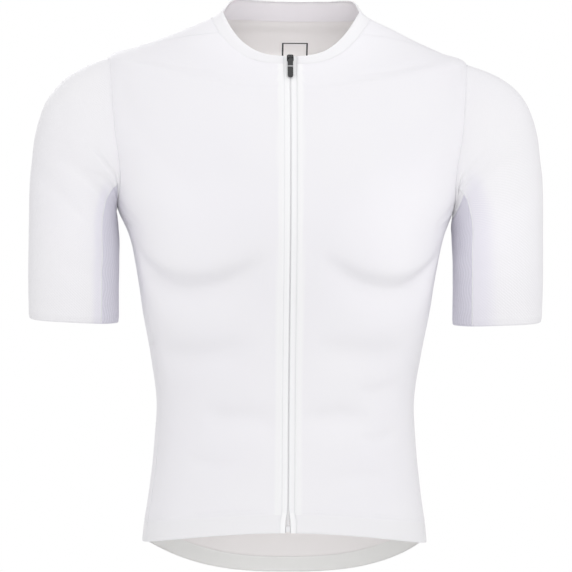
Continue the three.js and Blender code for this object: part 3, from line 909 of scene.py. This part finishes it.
POCKET_TOP_AT = HEM_SEAM_AT + (ARMPIT_AT - HEM_SEAM_AT) * 9 / 21
POCKET_WIDTH = 215
COMPARTMENTS = 3
SEWN_DEPTH = 1.2
SEWN_REACH = 2.2
TOP_HEM = 14
TOP_HEM_DEPTH = 0.6
TOP_HEM_REACH = 0.9
POCKET_INSET = 0.4
POCKET_STAND = 1.35
POCKET_CLOTH = 1.0
POCKET_SAG = 4.5
POCKET_EDGE_DIP = 0.5
POCKET_EDGE_REACH = 1.6
pocket_shares = spaced(0, POCKET_WIDTH, GRID_STEP) / POCKET_WIDTH
pocket_rows = spaced(HEM_SEAM_AT, POCKET_TOP_AT, GRID_STEP)
seam_degrees = read_table(FRONT_BACK_SEAM, pocket_rows)[1]
first = seam_degrees + (180 - seam_degrees) * POCKET_INSET
pocket_degrees = first[:, None] + (360 - 2 * first)[:, None] * pocket_shares
pocket_points, pocket_inward = torso_cloth(pocket_rows[:, None], pocket_degrees)
up_the_pocket = smooth(pocket_rows, HEM_SEAM_AT, POCKET_TOP_AT)[:, None]
compartment = np.abs(np.sin(COMPARTMENTS * np.pi * pocket_shares))[None]
stand = POCKET_STAND + POCKET_SAG * up_the_pocket * compartment
pocket_outer = pocket_points - pocket_inward * stand[..., None]
sewn_sides = ["first column", "last column", "first row"]
pocket_outer = seamed(
    pocket_outer, pocket_inward, sewn_sides, POCKET_EDGE_DIP, POCKET_EDGE_REACH
)
for share in (1 / 3, 2 / 3):
    away = (pocket_shares - share) * POCKET_WIDTH / SEWN_REACH
    sewn = SEWN_DEPTH * np.exp(-(away**2))[None] * np.ones_like(stand)
    pocket_outer = pocket_outer + pocket_inward * sewn[..., None]
from_top = from_side(pocket_outer, "last row")
top_hem = TOP_HEM_DEPTH * np.exp(-(((from_top - TOP_HEM) / TOP_HEM_REACH) ** 2))
pocket_outer = pocket_outer + pocket_inward * top_hem[..., None]
pocket_thickness = edge_thickness(pocket_outer, "last row", POCKET_CLOTH, 1.3, 8)
piece = shell(
    "back_pockets_cloth", pocket_outer, pocket_inward, pocket_thickness, [body_knit, inside_knit_painted_light]
)
finish_cloth(piece, pocket_outer, "back_pockets")

# %% [markdown]
# ## Hem bands and collar
#
# The bands are a firmer knit, cut double and turned over at their free edge. The free edge
# is round, so the rows beside it draw in, and the wall is thicker than the body's.

# %% Hem bands and collar
BAND = 1.3
EDGE_ROUND = 0.55

for word, side in (("left", 1), ("right", -1)):
    points, inward = front_grid(hem_rows, side)
    points = seamed(points, inward, ["first column", "last row"])
    free_sides = ["first row", "last column"]
    points = seamed(points, inward, free_sides, EDGE_ROUND, EDGE_ROUND_REACH)
    piece = shell(f"hem_front_{word}_band", points, inward, BAND, [band_knit, inside_hem_painted_light])
    finish_cloth(piece, points, f"hem_front_{word}")

points, inward = back_grid(hem_rows)
points = seamed(points, inward, ["first column", "last column", "last row"])
points = seamed(points, inward, ["first row"], EDGE_ROUND, EDGE_ROUND_REACH)
piece = shell("hem_back_band", points, inward, BAND, [band_knit, inside_hem_painted_light])
finish_cloth(piece, points, "hem_back")

COLLAR_LENGTH = 480
COLLAR = 1.5
COLLAR_ROUND = 0.75
COLLAR_ROUND_REACH = 1.3
COLLAR_END_ROUND = 0.7
COLLAR_END_REACH = 1.0
collar_rows = spaced(NECK_SEAM_AT, COLLAR_TOP_AT, BAND_STEP)
collar_shares = spaced(0, COLLAR_LENGTH, GRID_STEP) / COLLAR_LENGTH
collar_first = degrees_at_x(collar_rows, FRONT_EDGE_X)
collar_degrees = collar_first[:, None] + (360 - 2 * collar_first)[:, None] * collar_shares
collar_points, collar_inward = torso_cloth(collar_rows[:, None], collar_degrees)
points = seamed(collar_points, collar_inward, ["first row"])
points = seamed(points, collar_inward, ["last row"], COLLAR_ROUND, COLLAR_ROUND_REACH)
ends = ["first column", "last column"]
points = seamed(points, collar_inward, ends, COLLAR_END_ROUND, COLLAR_END_REACH)
piece = shell("collar_band", points, collar_inward, COLLAR, [band_knit, inside_collar_painted_shade])
finish_cloth(piece, points, "collar")

# %% [markdown]
# ## Sleeves
#
# Each sleeve is two pieces: a dimpled outer panel, and a narrow mesh panel under the arm that
# lets heat out. The wearer's right sleeve is the left one turned over, but with folds of its
# own. Close to the armhole a second layer closes the mesh, and beside the mesh the dimpled
# knit has a lilac painted shade, where the underarm is shaded.

# %% Sleeves and underarm panels
SLEEVE_CLOTH = 0.8
SLEEVE_WIDTH = 264
UNDERARM_WIDTH = 90
sleeve_rows = spaced(0, CUFF_AT, GRID_STEP)
sleeve_shares = spaced(0, SLEEVE_WIDTH, GRID_STEP) / SLEEVE_WIDTH
outer_columns = UNDERARM_HALF + sleeve_shares * 2 * (SLEEVE_HALF - UNDERARM_HALF)
under_shares = spaced(0, UNDERARM_WIDTH, 3.0) / UNDERARM_WIDTH
under_columns = -UNDERARM_HALF + under_shares * 2 * UNDERARM_HALF
MESH_STARTS_AT = {"left": 17, "right": 5}
MESH_SIDE_SHADE_REACH = {"left": 34, "right": 15}
CUFF_LINE_AT = 3.6
CUFF_LINE_DEPTH = 0.35
CUFF_LINE_REACH = 0.7
CUFF_ROUND = 0.4
CUFF_ROUND_REACH = 0.7
MESH_SIDE_SHADE_FROM_ARMHOLE = (8, 30)
sleeve_sets = (("left", 1, SLEEVE_FOLDS_LEFT), ("right", -1, SLEEVE_FOLDS_RIGHT))
sleeve_pieces = (
    ("sleeve", outer_columns, sleeve_knit, "sleeve_cloth", "cloth"),
    ("underarm", under_columns, underarm_mesh, "mesh", "mesh"),
)
for word, side, folds in sleeve_sets:
    turn_over = np.array([side, 1, 1])
    for node, columns, material, slot, ending in sleeve_pieces:
        points, inward = sleeve_cloth(sleeve_rows[:, None], columns, folds)
        points = seamed(points, inward, ["first column", "last column", "first row"])
        from_cuff = from_side(points, "last row")
        line = CUFF_LINE_DEPTH * np.exp(-(((from_cuff - CUFF_LINE_AT) / CUFF_LINE_REACH) ** 2))
        points = points + inward * line[..., None]
        points = seamed(points, inward, ["last row"], CUFF_ROUND, CUFF_ROUND_REACH)
        points, inward = points * turn_over, inward * turn_over
        from_armhole = from_side(points, "first row")
        start = MESH_STARTS_AT[word]
        layered = 1 - smooth(from_armhole, start - 1, start + 1)
        from_seam = np.minimum(*(from_side(points, end) for end in ("first column", "last column")))
        # A lilac painted shade on the dimpled knit beside the mesh, starting a little below the
        # armhole.
        mesh_side_shade = 1 - smooth(from_seam, 0.4 * MESH_SIDE_SHADE_REACH[word], MESH_SIDE_SHADE_REACH[word])
        mesh_side_shade = mesh_side_shade * smooth(from_armhole, *MESH_SIDE_SHADE_FROM_ARMHOLE)
        piece = shell(
            f"{node}_{word}_{ending}",
            points,
            inward,
            SLEEVE_CLOTH,
            [material, inside_knit_painted_light],
            {"mesh_side_shade": mesh_side_shade, "double": layered},
        )
        finish_cloth(piece, points, f"{node}_{word}")

# %% [markdown]
# ## Zip tapes
#
# The tapes lie behind the fronts' edges. Their inner edges roll down to the teeth, which is
# the thin grey line down the front of a closed jersey. That grey, darker towards the foot, and
# a faint line under each front's edge are painted shade. They part round the slider at the
# neck, and at the foot, where the retainer box is.

# %% Zip tapes
TAPE_DEPTH = 1.8
TAPE = 0.8
TAPE_ROLL = 1.1
TAPE_ROLL_WIDTH = 1.3
FILM_TOP_AT = 24
FILM = 0.15
FRONT_LINE_SHADE = 0.42
FRONT_LINE_REACH = 0.75


def tape_inner_x(along):
    parted = 0.3 + 1.1 * smooth(along, NECK_SEAM_AT - 4, NECK_SEAM_AT + 6)
    return parted + 2.1 * (1 - smooth(along, 10, 32))


def tape_finish():
    """Woven herringbone tape, paler where film stiffens it, with grey painted shade at its edges.
    """
    material, tree, shader = new_finish("white woven zip tape", 0.55, sheen=0.08)
    u, v = cloth_place(tree)
    stripe = calc(tree, "PINGPONG", u, 0.9 * MM)
    lean = calc(tree, "ADD", v, calc(tree, "MULTIPLY", stripe, 0.8))
    height = calc(tree, "MULTIPLY_ADD", ripple(tree, lean, 0.6 * MM), 0.5, 0.5)
    woven = blend_colours(tree, height, (0.87, 0.87, 0.885), (0.93, 0.93, 0.94))
    coated = blend_colours(tree, marked(tree, "film"), woven, (0.92, 0.92, 0.93))
    colour = blend_colours(tree, marked(tree, "painted_edge_shade"), coated, (0.60, 0.60, 0.62))
    tree.links.new(colour, shader.inputs["Base Color"])
    set_bump(tree, shader, height, 0.2, 0.15 * MM)
    return material


tape_weave = tape_finish()
tape_rows = np.unique(np.concatenate([hem_rows, body_rows, collar_rows]))
tape_steps = [0, 0.3, 0.6, 0.95, 1.4, 2.2, 3.4, 4.8, 5.6, 6.3, 6.9, 7.5, 8.2, 9, 10.5, 13]
tape_steps = np.array(tape_steps)
for word, side in (("left", 1), ("right", -1)):
    inner = tape_inner_x(tape_rows)[:, None]
    x = np.minimum(inner + tape_steps, TAPE_OUTER_X)
    x[:, -1] = TAPE_OUTER_X
    x[:, -2] = TAPE_OUTER_X - 1.5
    points, inward = torso_cloth(tape_rows[:, None], side * degrees_at_x(tape_rows[:, None], x))
    rolled = np.clip(1 - tape_steps / TAPE_ROLL_WIDTH, 0, 1) ** 2
    points = points + inward * (TAPE_DEPTH + TAPE_ROLL * rolled)[..., None]
    # Painted shade: grey in the groove at the teeth, deeper towards the foot, and a painted shadow
    # line where the tape goes under each front's edge.
    shade_deeper_below = 1 - 0.6 * smooth(tape_rows, 150, 600)[:, None]
    teeth_groove_shade = np.clip(1.1 - tape_steps / 0.7, 0, 1) * shade_deeper_below
    from_front = (x - front_edge_x(tape_rows)[:, None]) / FRONT_LINE_REACH
    front_edge_shadow = FRONT_LINE_SHADE * np.exp(-(from_front**2))
    film = np.broadcast_to((tape_rows < FILM_TOP_AT)[:, None], points.shape[:2]).astype(float)
    points = points - inward * (FILM * film)[..., None]
    marks = {"painted_edge_shade": np.maximum(teeth_groove_shade, front_edge_shadow), "film": film}
    piece = shell(f"zip_tape_{word}_woven", points, inward, TAPE, [tape_weave], marks, uv_start=0)
    finish_cloth(piece, points, f"zip_tape_{word}")

# %% [markdown]
# ## Threads that follow a path
#
# Stitches, crossing threads and zip teeth are one idea: a small round rod, repeated along a
# line on the cloth. One Geometry Nodes tree does all of them. It makes the line a curve,
# places points at an even pitch, and puts a rod on each, turned to the line and lying on the
# cloth. The attribute named out says which way is up from the cloth. The tree ends by making
# the rods real, so that they are plain faces for anyone who opens the file.

# %% Tree for threads
THREAD_INPUTS = (
    ("Path", "NodeSocketGeometry"),
    ("Pitch", "NodeSocketFloat"),
    ("Length", "NodeSocketFloat"),
    ("Width", "NodeSocketFloat"),
    ("Height", "NodeSocketFloat"),
    ("Turn", "NodeSocketFloat"),
    ("Zigzag", "NodeSocketFloat"),
    ("Sides", "NodeSocketInt"),
    ("Finish", "NodeSocketMaterial"),
)


def thread_tree():
    tree = bpy.data.node_groups.new("threads along a path", "GeometryNodeTree")
    for name, kind in THREAD_INPUTS:
        tree.interface.new_socket(name, in_out="INPUT", socket_type=kind)
    tree.interface.new_socket("Geometry", in_out="OUTPUT", socket_type="NodeSocketGeometry")
    given = add_node(tree, "NodeGroupInput").outputs
    curve = add_node(tree, "GeometryNodeMeshToCurve", {"Mesh": given["Path"]}).outputs[0]
    line = {"Curve": curve, "Length": given["Pitch"]}
    even = add_node(tree, "GeometryNodeResampleCurve", line, mode="LENGTH")
    name = {"Name": "out"}
    out = add_node(tree, "GeometryNodeInputNamedAttribute", name, data_type="FLOAT_VECTOR")
    out_vector = out.outputs["Attribute"]
    index = add_node(tree, "GeometryNodeInputIndex").outputs[0]
    odd = calc(tree, "MODULO", index, 2.0)
    sign = calc(tree, "MULTIPLY_ADD", odd, 2.0, -1.0)
    angle = calc(tree, "MULTIPLY_ADD", sign, given["Zigzag"], given["Turn"])
    tangent = add_node(tree, "GeometryNodeInputTangent").outputs[0]
    turned = add_node(
        tree, "ShaderNodeVectorRotate", {"Vector": tangent, "Axis": out_vector, "Angle": angle}
    )
    axes = add_node(
        tree,
        "FunctionNodeAxesToRotation",
        {"Primary Axis": turned.outputs[0], "Secondary Axis": out_vector},
        primary_axis="X",
        secondary_axis="Z",
    )
    lengths = {"X": given["Length"], "Y": given["Width"], "Z": given["Height"]}
    size = add_node(tree, "ShaderNodeCombineXYZ", lengths)
    ball = {"Segments": given["Sides"], "Rings": 4, "Radius": 0.5}
    rod = add_node(tree, "GeometryNodeMeshUVSphere", ball)
    placed = add_node(
        tree,
        "GeometryNodeInstanceOnPoints",
        {
            "Points": even.outputs[0],
            "Instance": rod.outputs[0],
            "Rotation": axes.outputs[0],
            "Scale": size.outputs[0],
        },
    )
    real = add_node(tree, "GeometryNodeRealizeInstances", {"Geometry": placed.outputs[0]})
    rods = {"Geometry": real.outputs[0], "Material": given["Finish"]}
    finished = add_node(tree, "GeometryNodeSetMaterial", rods)
    add_node(tree, "NodeGroupOutput", {"Geometry": finished.outputs[0]})
    return tree


threads = thread_tree()
print("thread tree:", len(threads.nodes), "nodes")


def path_object(name, paths):
    """Lines in one mesh, each given as points and directions out of the cloth."""
    mesh = bpy.data.meshes.new(name)
    points = np.vstack([points for points, _ in paths])
    edges = []
    start = 0
    for line, _ in paths:
        edges += [(start + k, start + k + 1) for k in range(len(line) - 1)]
        start += len(line)
    mesh.from_pydata((settle(points) * MM).tolist(), edges, [])
    out = mesh.attributes.new("out", "FLOAT_VECTOR", "POINT")
    out.data.foreach_set("vector", np.vstack([o for _, o in paths]).astype(np.float32).ravel())
    return add_object(name, mesh, [])


def add_threads(name, paths, finish, slot, pitch, length, width, turn=0.0, zigzag=0.0, sides=6):
    """Runs the thread tree on some lines and keeps the rods as one plain mesh."""
    carrier = path_object(name + "_lines", paths)
    modifier = carrier.modifiers.new("threads", "NODES")
    modifier.node_group = threads
    values = {
        "Pitch": pitch * MM,
        "Length": length * MM,
        "Width": width * MM,
        "Height": width * MM,
        "Turn": math.radians(turn),
        "Zigzag": math.radians(zigzag),
        "Sides": sides,
        "Finish": finish,
    }
    for socket in threads.interface.items_tree:
        if socket.in_out == "INPUT" and socket.name in values:
            modifier[socket.identifier] = values[socket.name]
    depsgraph = bpy.context.evaluated_depsgraph_get()
    mesh = bpy.data.meshes.new_from_object(carrier.evaluated_get(depsgraph))
    mesh.name = name
    mesh.shade_smooth()
    bpy.data.objects.remove(carrier)
    piece = add_object(name, mesh, [])
    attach(piece, "garment")
    triangles = sum(len(p.vertices) - 2 for p in mesh.polygons)
    print(f"{name}: {triangles} triangles")
    return piece


# %% [markdown]
# ## Seams
#
# A jersey's seams are flat: the two edges lie side by side, and threads cross from one to the
# other, so nothing rubs the skin. From a step away they are fine pale lines. The seams of the
# underarm mesh carry a thicker cord. The hems and the pockets are held by plain rows of
# stitches instead.

# %% Seam threads
THREAD = 0.22
CROSSING = 3.2
CROSSING_PITCH = 1.4
STITCH = 2.2
STITCH_PITCH = 2.6
STAND_OFF = 0.05
STITCH_STAND_OFF = 0.1

white_thread = grained_finish(
    "white thread", 0.5, (0.90, 0.90, 0.91), (0.80, 0.80, 0.83), 2600.0, 3.0, 0.3, sheen=0.1
)


def torso_line(along, degrees, stand_off=STAND_OFF):
    points, inward = torso_cloth(along, degrees)
    return points - inward * stand_off, -inward


def sleeve_line(along, column, side, folds):
    points, inward = sleeve_cloth(along, column, folds)
    turn_over = np.array([side, 1, 1])
    return (points - inward * STAND_OFF) * turn_over, -inward * turn_over


side_along = np.linspace(2, ARMPIT_AT - 3, 200)
side_degrees = read_table(FRONT_BACK_SEAM, side_along)[1]
shoulder_along = np.linspace(SHOULDER_TIP_AT + 3, NECK_SEAM_AT - 2, 60)
shoulder_degrees = read_table(FRONT_BACK_SEAM, shoulder_along)[1]
side_lines = []
shoulder_lines = []
for side in (1, -1):
    side_lines.append(torso_line(side_along, side * side_degrees))
    shoulder_lines.append(torso_line(shoulder_along, side * shoulder_degrees))

armhole_lines = []
panel_lines = []
turns = np.linspace(0, 2 * SLEEVE_HALF, 260)
line_along = np.linspace(5, CUFF_AT - 2, 160)
for word, side, folds in sleeve_sets:
    armhole_lines.append(sleeve_line(np.full_like(turns, 0.6), turns, side, folds))
    for column in (UNDERARM_HALF, -UNDERARM_HALF):
        columns = np.full_like(line_along, column)
        panel_lines.append(sleeve_line(line_along, columns, side, folds))

neck_degrees = np.linspace(6, 354, 300)
neck_line = torso_line(np.full_like(neck_degrees, NECK_SEAM_AT), neck_degrees)

flat = {"pitch": CROSSING_PITCH, "length": CROSSING, "width": THREAD, "turn": 90.0, "zigzag": 14.0}
cord = {"pitch": 0.75, "length": 1.7, "width": 0.95, "turn": 60.0}
stitched = {"pitch": STITCH_PITCH, "length": STITCH, "width": THREAD}
add_threads("side_seam_threads", side_lines, white_thread, "cloth", **flat)
add_threads("shoulder_seam_threads", shoulder_lines, white_thread, "cloth", **flat)
add_threads("armhole_seam_threads", armhole_lines, white_thread, "sleeve_cloth", **flat)
add_threads("sleeve_panel_threads", panel_lines, white_thread, "sleeve_cloth", **cord)
add_threads("neck_seam_threads", [neck_line], white_thread, "collar_band", **flat)

hem_lines = []
for along in (HEM_SEAM_AT + 2.2, HEM_SEAM_AT + 5.4):
    for start, end in ((5, 176), (184, 355)):
        degrees = np.linspace(start, end, 160)
        hem_lines.append(torso_line(np.full_like(degrees, along), degrees, STITCH_STAND_OFF))
add_threads("hem_stitches", hem_lines, white_thread, "hem_band", **stitched)

pocket_lines = []
column_count = len(pocket_shares)
for row in (-4, -8):
    line = pocket_outer[row] - STITCH_STAND_OFF * pocket_inward[row]
    pocket_lines.append((line, -pocket_inward[row]))
for share in (0.008, 1 / 3, 2 / 3, 0.992):
    column = int(round(share * (column_count - 1)))
    line = pocket_outer[:, column] - STITCH_STAND_OFF * pocket_inward[:, column]
    pocket_lines.append((line, -pocket_inward[:, column]))
add_threads("pocket_stitches", pocket_lines, white_thread, "cloth", **stitched)

# %% [markdown]
# ## Zip teeth, slider and pull tab
#
# The teeth are a coil of nylon behind the tapes, and only a thin line of it shows. The slider,
# its tab and the retainer box are hard pieces, and the tab swings on its bar. Their solids
# already have the right shape, so they stay, and each gets its own finish.

# %% Zip teeth
TEETH_DEPTH = 3.2

teeth_along = np.linspace(9, 648, 300)
points, inward = torso_cloth(teeth_along, np.zeros_like(teeth_along))
nylon = grained_finish("grey nylon teeth", 0.35, (0.80, 0.80, 0.82), (0.88, 0.88, 0.90), 900.0)
teeth = add_threads(
    "zip_teeth",
    [(points + inward * TEETH_DEPTH, -inward)],
    nylon,
    "zip_coil",
    pitch=1.3,
    length=4.4,
    width=1.0,
    turn=90.0,
    zigzag=9.0,
    sides=8,
)
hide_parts("zip_coil")

# %% Finishes of the hard pieces
BAND_BELOW_TOP = 12.6 * MM
BAND_HALF = 0.55 * MM


def rubber_finish(band_z):
    """Black moulded rubber with one paler line across it, at the height band_z."""
    material, tree, shader = new_finish("black moulded tab", 0.48)
    grain = noise(tree, object_place(tree), 1500.0, 3.0)
    colour = blend_colours(tree, grain, (0.015, 0.015, 0.017), (0.03, 0.03, 0.032))
    height = add_node(tree, "ShaderNodeSeparateXYZ", {0: object_place(tree)}).outputs[2]
    away = calc(tree, "ABSOLUTE", calc(tree, "SUBTRACT", height, band_z))
    band = calc(tree, "LESS_THAN", away, BAND_HALF)
    colour = blend_colours(tree, band, colour, (0.42, 0.42, 0.43))
    tree.links.new(colour, shader.inputs["Base Color"])
    set_bump(tree, shader, grain, 0.25, GRAIN_HEIGHT)
    return material


def give_finish(node, material):
    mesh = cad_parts[node].data
    mesh.materials.clear()
    mesh.materials.append(material)


black = ((0.012, 0.012, 0.014), (0.03, 0.03, 0.033))
enamel = grained_finish("black enamel", 0.22, *black, 420.0, 4.0, metallic=0.2, coat=1.0)
milky = grained_finish("milky plastic", 0.32, (0.74, 0.74, 0.76), (0.84, 0.84, 0.86), 300.0)
give_finish("zip_slider", enamel)
give_finish("zip_box", milky)
tab_top = max(vertex.co.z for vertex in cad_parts["pull_tab"].data.vertices)
print("pull tab's top:", round(tab_top / MM, 1), "mm")
give_finish("pull_tab", rubber_finish(tab_top - BAND_BELOW_TOP))

# %% [markdown]
# ## Neck label
#
# Inside the back, below the collar, a plain square is printed straight on the cloth: four
# strips of ink that lie on its inner face.

# %% Neck label
LABEL_TOP_AT = 598
LABEL_SIDE = 30
LABEL_LINE = 1.8
LABEL_OFF_CENTRE = 3.9
LABEL_STAND = 0.12
INK = 0.05


def inside_back(x, down):
    """A point of the back's inner face, x to the wearer's left and down from the label's top."""
    along = LABEL_TOP_AT - down
    ring = read_table(TORSO_RINGS, along)
    degrees = 180 - np.degrees(np.arctan((x + LABEL_OFF_CENTRE) / ring[1]))
    points, inward = torso_cloth(along, degrees)
    return points + inward * (CLOTH + LABEL_STAND), inward


def strip_places(start, end):
    """Two places across a strip and fifteen along it."""
    return np.linspace(start, end, 2 if end - start <= LABEL_LINE + 0.01 else 15)


ink = grained_finish("black printed ink", 0.6, (0.02, 0.02, 0.022), (0.05, 0.05, 0.055), 1200.0)
half = LABEL_SIDE / 2
label_strips = {
    "top": (-half, half, 0, LABEL_LINE),
    "foot": (-half, half, LABEL_SIDE - LABEL_LINE, LABEL_SIDE),
    "left": (half - LABEL_LINE, half, 0, LABEL_SIDE),
    "right": (-half, LABEL_LINE - half, 0, LABEL_SIDE),
}
for word, (x0, x1, y0, y1) in label_strips.items():
    x, down = np.broadcast_arrays(strip_places(x0, x1)[None], strip_places(y0, y1)[:, None])
    points, inward = inside_back(x, down)
    strip = shell(f"label_{word}_line", points + inward * INK, -inward, INK, [ink])
    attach(strip, "garment")

# %% [markdown]
# ## Floor, light and camera
#
# White cloth needs soft light that still comes from somewhere. The world gives a base that is
# weaker from behind. A large lamp above the front gives the gentle shade under the chest, and
# others light the sides and the back. Small ones light the openings and the armpits, as light
# that comes through thin cloth does. The camera stands level with the lower chest, a little to
# the wearer's right, and leans by under half a degree.

# %% Floor
FLOOR_RADIUS = 3.0
FLOOR_DROP = 1.45
angles = np.linspace(0, 2 * np.pi, 97)[:-1]
ring = np.stack([np.cos(angles), np.sin(angles), 0 * angles], -1) * FLOOR_RADIUS
ring[:, 2] = -FLOOR_DROP
floor_mesh = bpy.data.meshes.new("floor")
floor_mesh.from_pydata(ring.tolist(), [], [list(range(len(ring)))])
pale = grained_finish("pale floor", 0.8, (0.86, 0.86, 0.86), (0.88, 0.88, 0.88), 1.5)
floor = add_object("floor", floor_mesh, [pale])
print("floor:", FLOOR_DROP, "m below the origin")

# %% World
LIGHT_FROM_FRONT = 0.885
LIGHT_FROM_BEHIND = 0.58
BACKDROP = 1.0

world = bpy.data.worlds.new("studio")
bpy.context.scene.world = world
world.use_nodes = True
tree = world.node_tree
tree.nodes.clear()
direction = add_node(tree, "ShaderNodeTexCoord").outputs["Generated"]
backwards = add_node(tree, "ShaderNodeSeparateXYZ", {0: direction}).outputs[1]
ends = {"From Min": 0.0, "From Max": 0.7, "To Min": LIGHT_FROM_FRONT, "To Max": LIGHT_FROM_BEHIND}
strength = add_node(tree, "ShaderNodeMapRange", {"Value": backwards, **ends}).outputs[0]
seen = add_node(tree, "ShaderNodeBackground", {"Color": (1, 1, 1, 1), "Strength": BACKDROP})
base = add_node(tree, "ShaderNodeBackground", {"Color": (1, 1, 1, 1), "Strength": strength})
camera_ray = add_node(tree, "ShaderNodeLightPath").outputs["Is Camera Ray"]
shaders = {0: camera_ray, 1: base.outputs[0], 2: seen.outputs[0]}
mixed = add_node(tree, "ShaderNodeMixShader", shaders)
add_node(tree, "ShaderNodeOutputWorld", {"Surface": mixed.outputs[0]})
print("world:", LIGHT_FROM_FRONT, "from the front and", LIGHT_FROM_BEHIND, "from behind")

# %% Lamps
MIDDLE = (0, 0, -0.3)
LAMPS = [
    # name, place, aim, metres across, degrees of its cone if it has one, watts
    ("front lamp", (0.6, -2.3, 1.5), MIDDLE, 1.5, None, 14),
    ("right side lamp", (-2.2, -0.9, -0.4), MIDDLE, 1.2, None, 3.2),
    ("left side lamp", (2.2, -0.9, -0.4), MIDDLE, 1.2, None, 3.4),
    ("back lamp", (-0.9, 2.1, 1.0), MIDDLE, 0.9, None, 14),
    ("neck lamp", (0, -0.9, 0.55), (0.004, 0.045, 0.004), 0.16, 11, 11),
    ("hem lamp", (0, -0.9, -1.1), (0, 0.1, -0.6), 0.16, 15, 5.2),
    ("right armpit lamp", (0.05, -1.5, -0.5), (-0.176, 0, -0.21), 0.16, 4.6, 17),
    ("left armpit lamp", (-0.1, -1.5, -0.5), (0.186, 0, -0.222), 0.16, 4.7, 27),
    ("lamp inside the neck", (0, -0.045, -0.15), (0, 0.06, 0), 0.1, None, 0.068),
]
CONE_SOFTNESS = 0.8

for name, place, aim, across, cone, power in LAMPS:
    lamp = bpy.data.lights.new(name, "SPOT" if cone else "AREA")
    if cone:
        lamp.spot_size = math.radians(cone)
        lamp.spot_blend = CONE_SOFTNESS
        lamp.shadow_soft_size = across / 2
    else:
        lamp.shape = "DISK"
        lamp.size = across
    lamp.energy = power
    holder = bpy.data.objects.new(name, lamp)
    holder.location = place
    holder.rotation_euler = (Vector(aim) - Vector(place)).to_track_quat("-Z", "Y").to_euler()
    bpy.context.scene.collection.objects.link(holder)
    print(f"{name}: {power} W, {across} m across")

# %% Camera
CAMERA_DISTANCE = 2.6
CAMERA_HEIGHT = -0.298
CAMERA_AZIMUTH = math.radians(-2.0)
CAMERA_ROLL = math.radians(0.45)
MM_PER_PIXEL = 1.12
IMAGE_WIDTH = 572
IMAGE_CENTRE_X = 286.3
SENSOR_WIDTH = 36

camera = bpy.data.cameras.new("camera")
camera.sensor_width = SENSOR_WIDTH
camera.lens = SENSOR_WIDTH * CAMERA_DISTANCE / MM / MM_PER_PIXEL / IMAGE_WIDTH
camera.shift_x = (IMAGE_WIDTH / 2 - IMAGE_CENTRE_X) / IMAGE_WIDTH
camera.clip_end = 100
camera_object = bpy.data.objects.new("camera", camera)
right = Vector((math.cos(CAMERA_AZIMUTH), math.sin(CAMERA_AZIMUTH), 0))
up = Vector((0, 0, 1))
back = Vector((math.sin(CAMERA_AZIMUTH), -math.cos(CAMERA_AZIMUTH), 0))
place = back * CAMERA_DISTANCE + Vector((0, 0, CAMERA_HEIGHT))
tilted_right = right * math.cos(CAMERA_ROLL) + up * math.sin(CAMERA_ROLL)
tilted_up = up * math.cos(CAMERA_ROLL) - right * math.sin(CAMERA_ROLL)
turned = Matrix((tilted_right, tilted_up, back)).transposed().to_4x4()
camera_object.matrix_world = Matrix.Translation(place) @ turned
bpy.context.scene.collection.objects.link(camera_object)
bpy.context.scene.camera = camera_object
bpy.context.scene.view_settings.view_transform = "Standard"
print("lens:", round(camera.lens, 1), "mm")
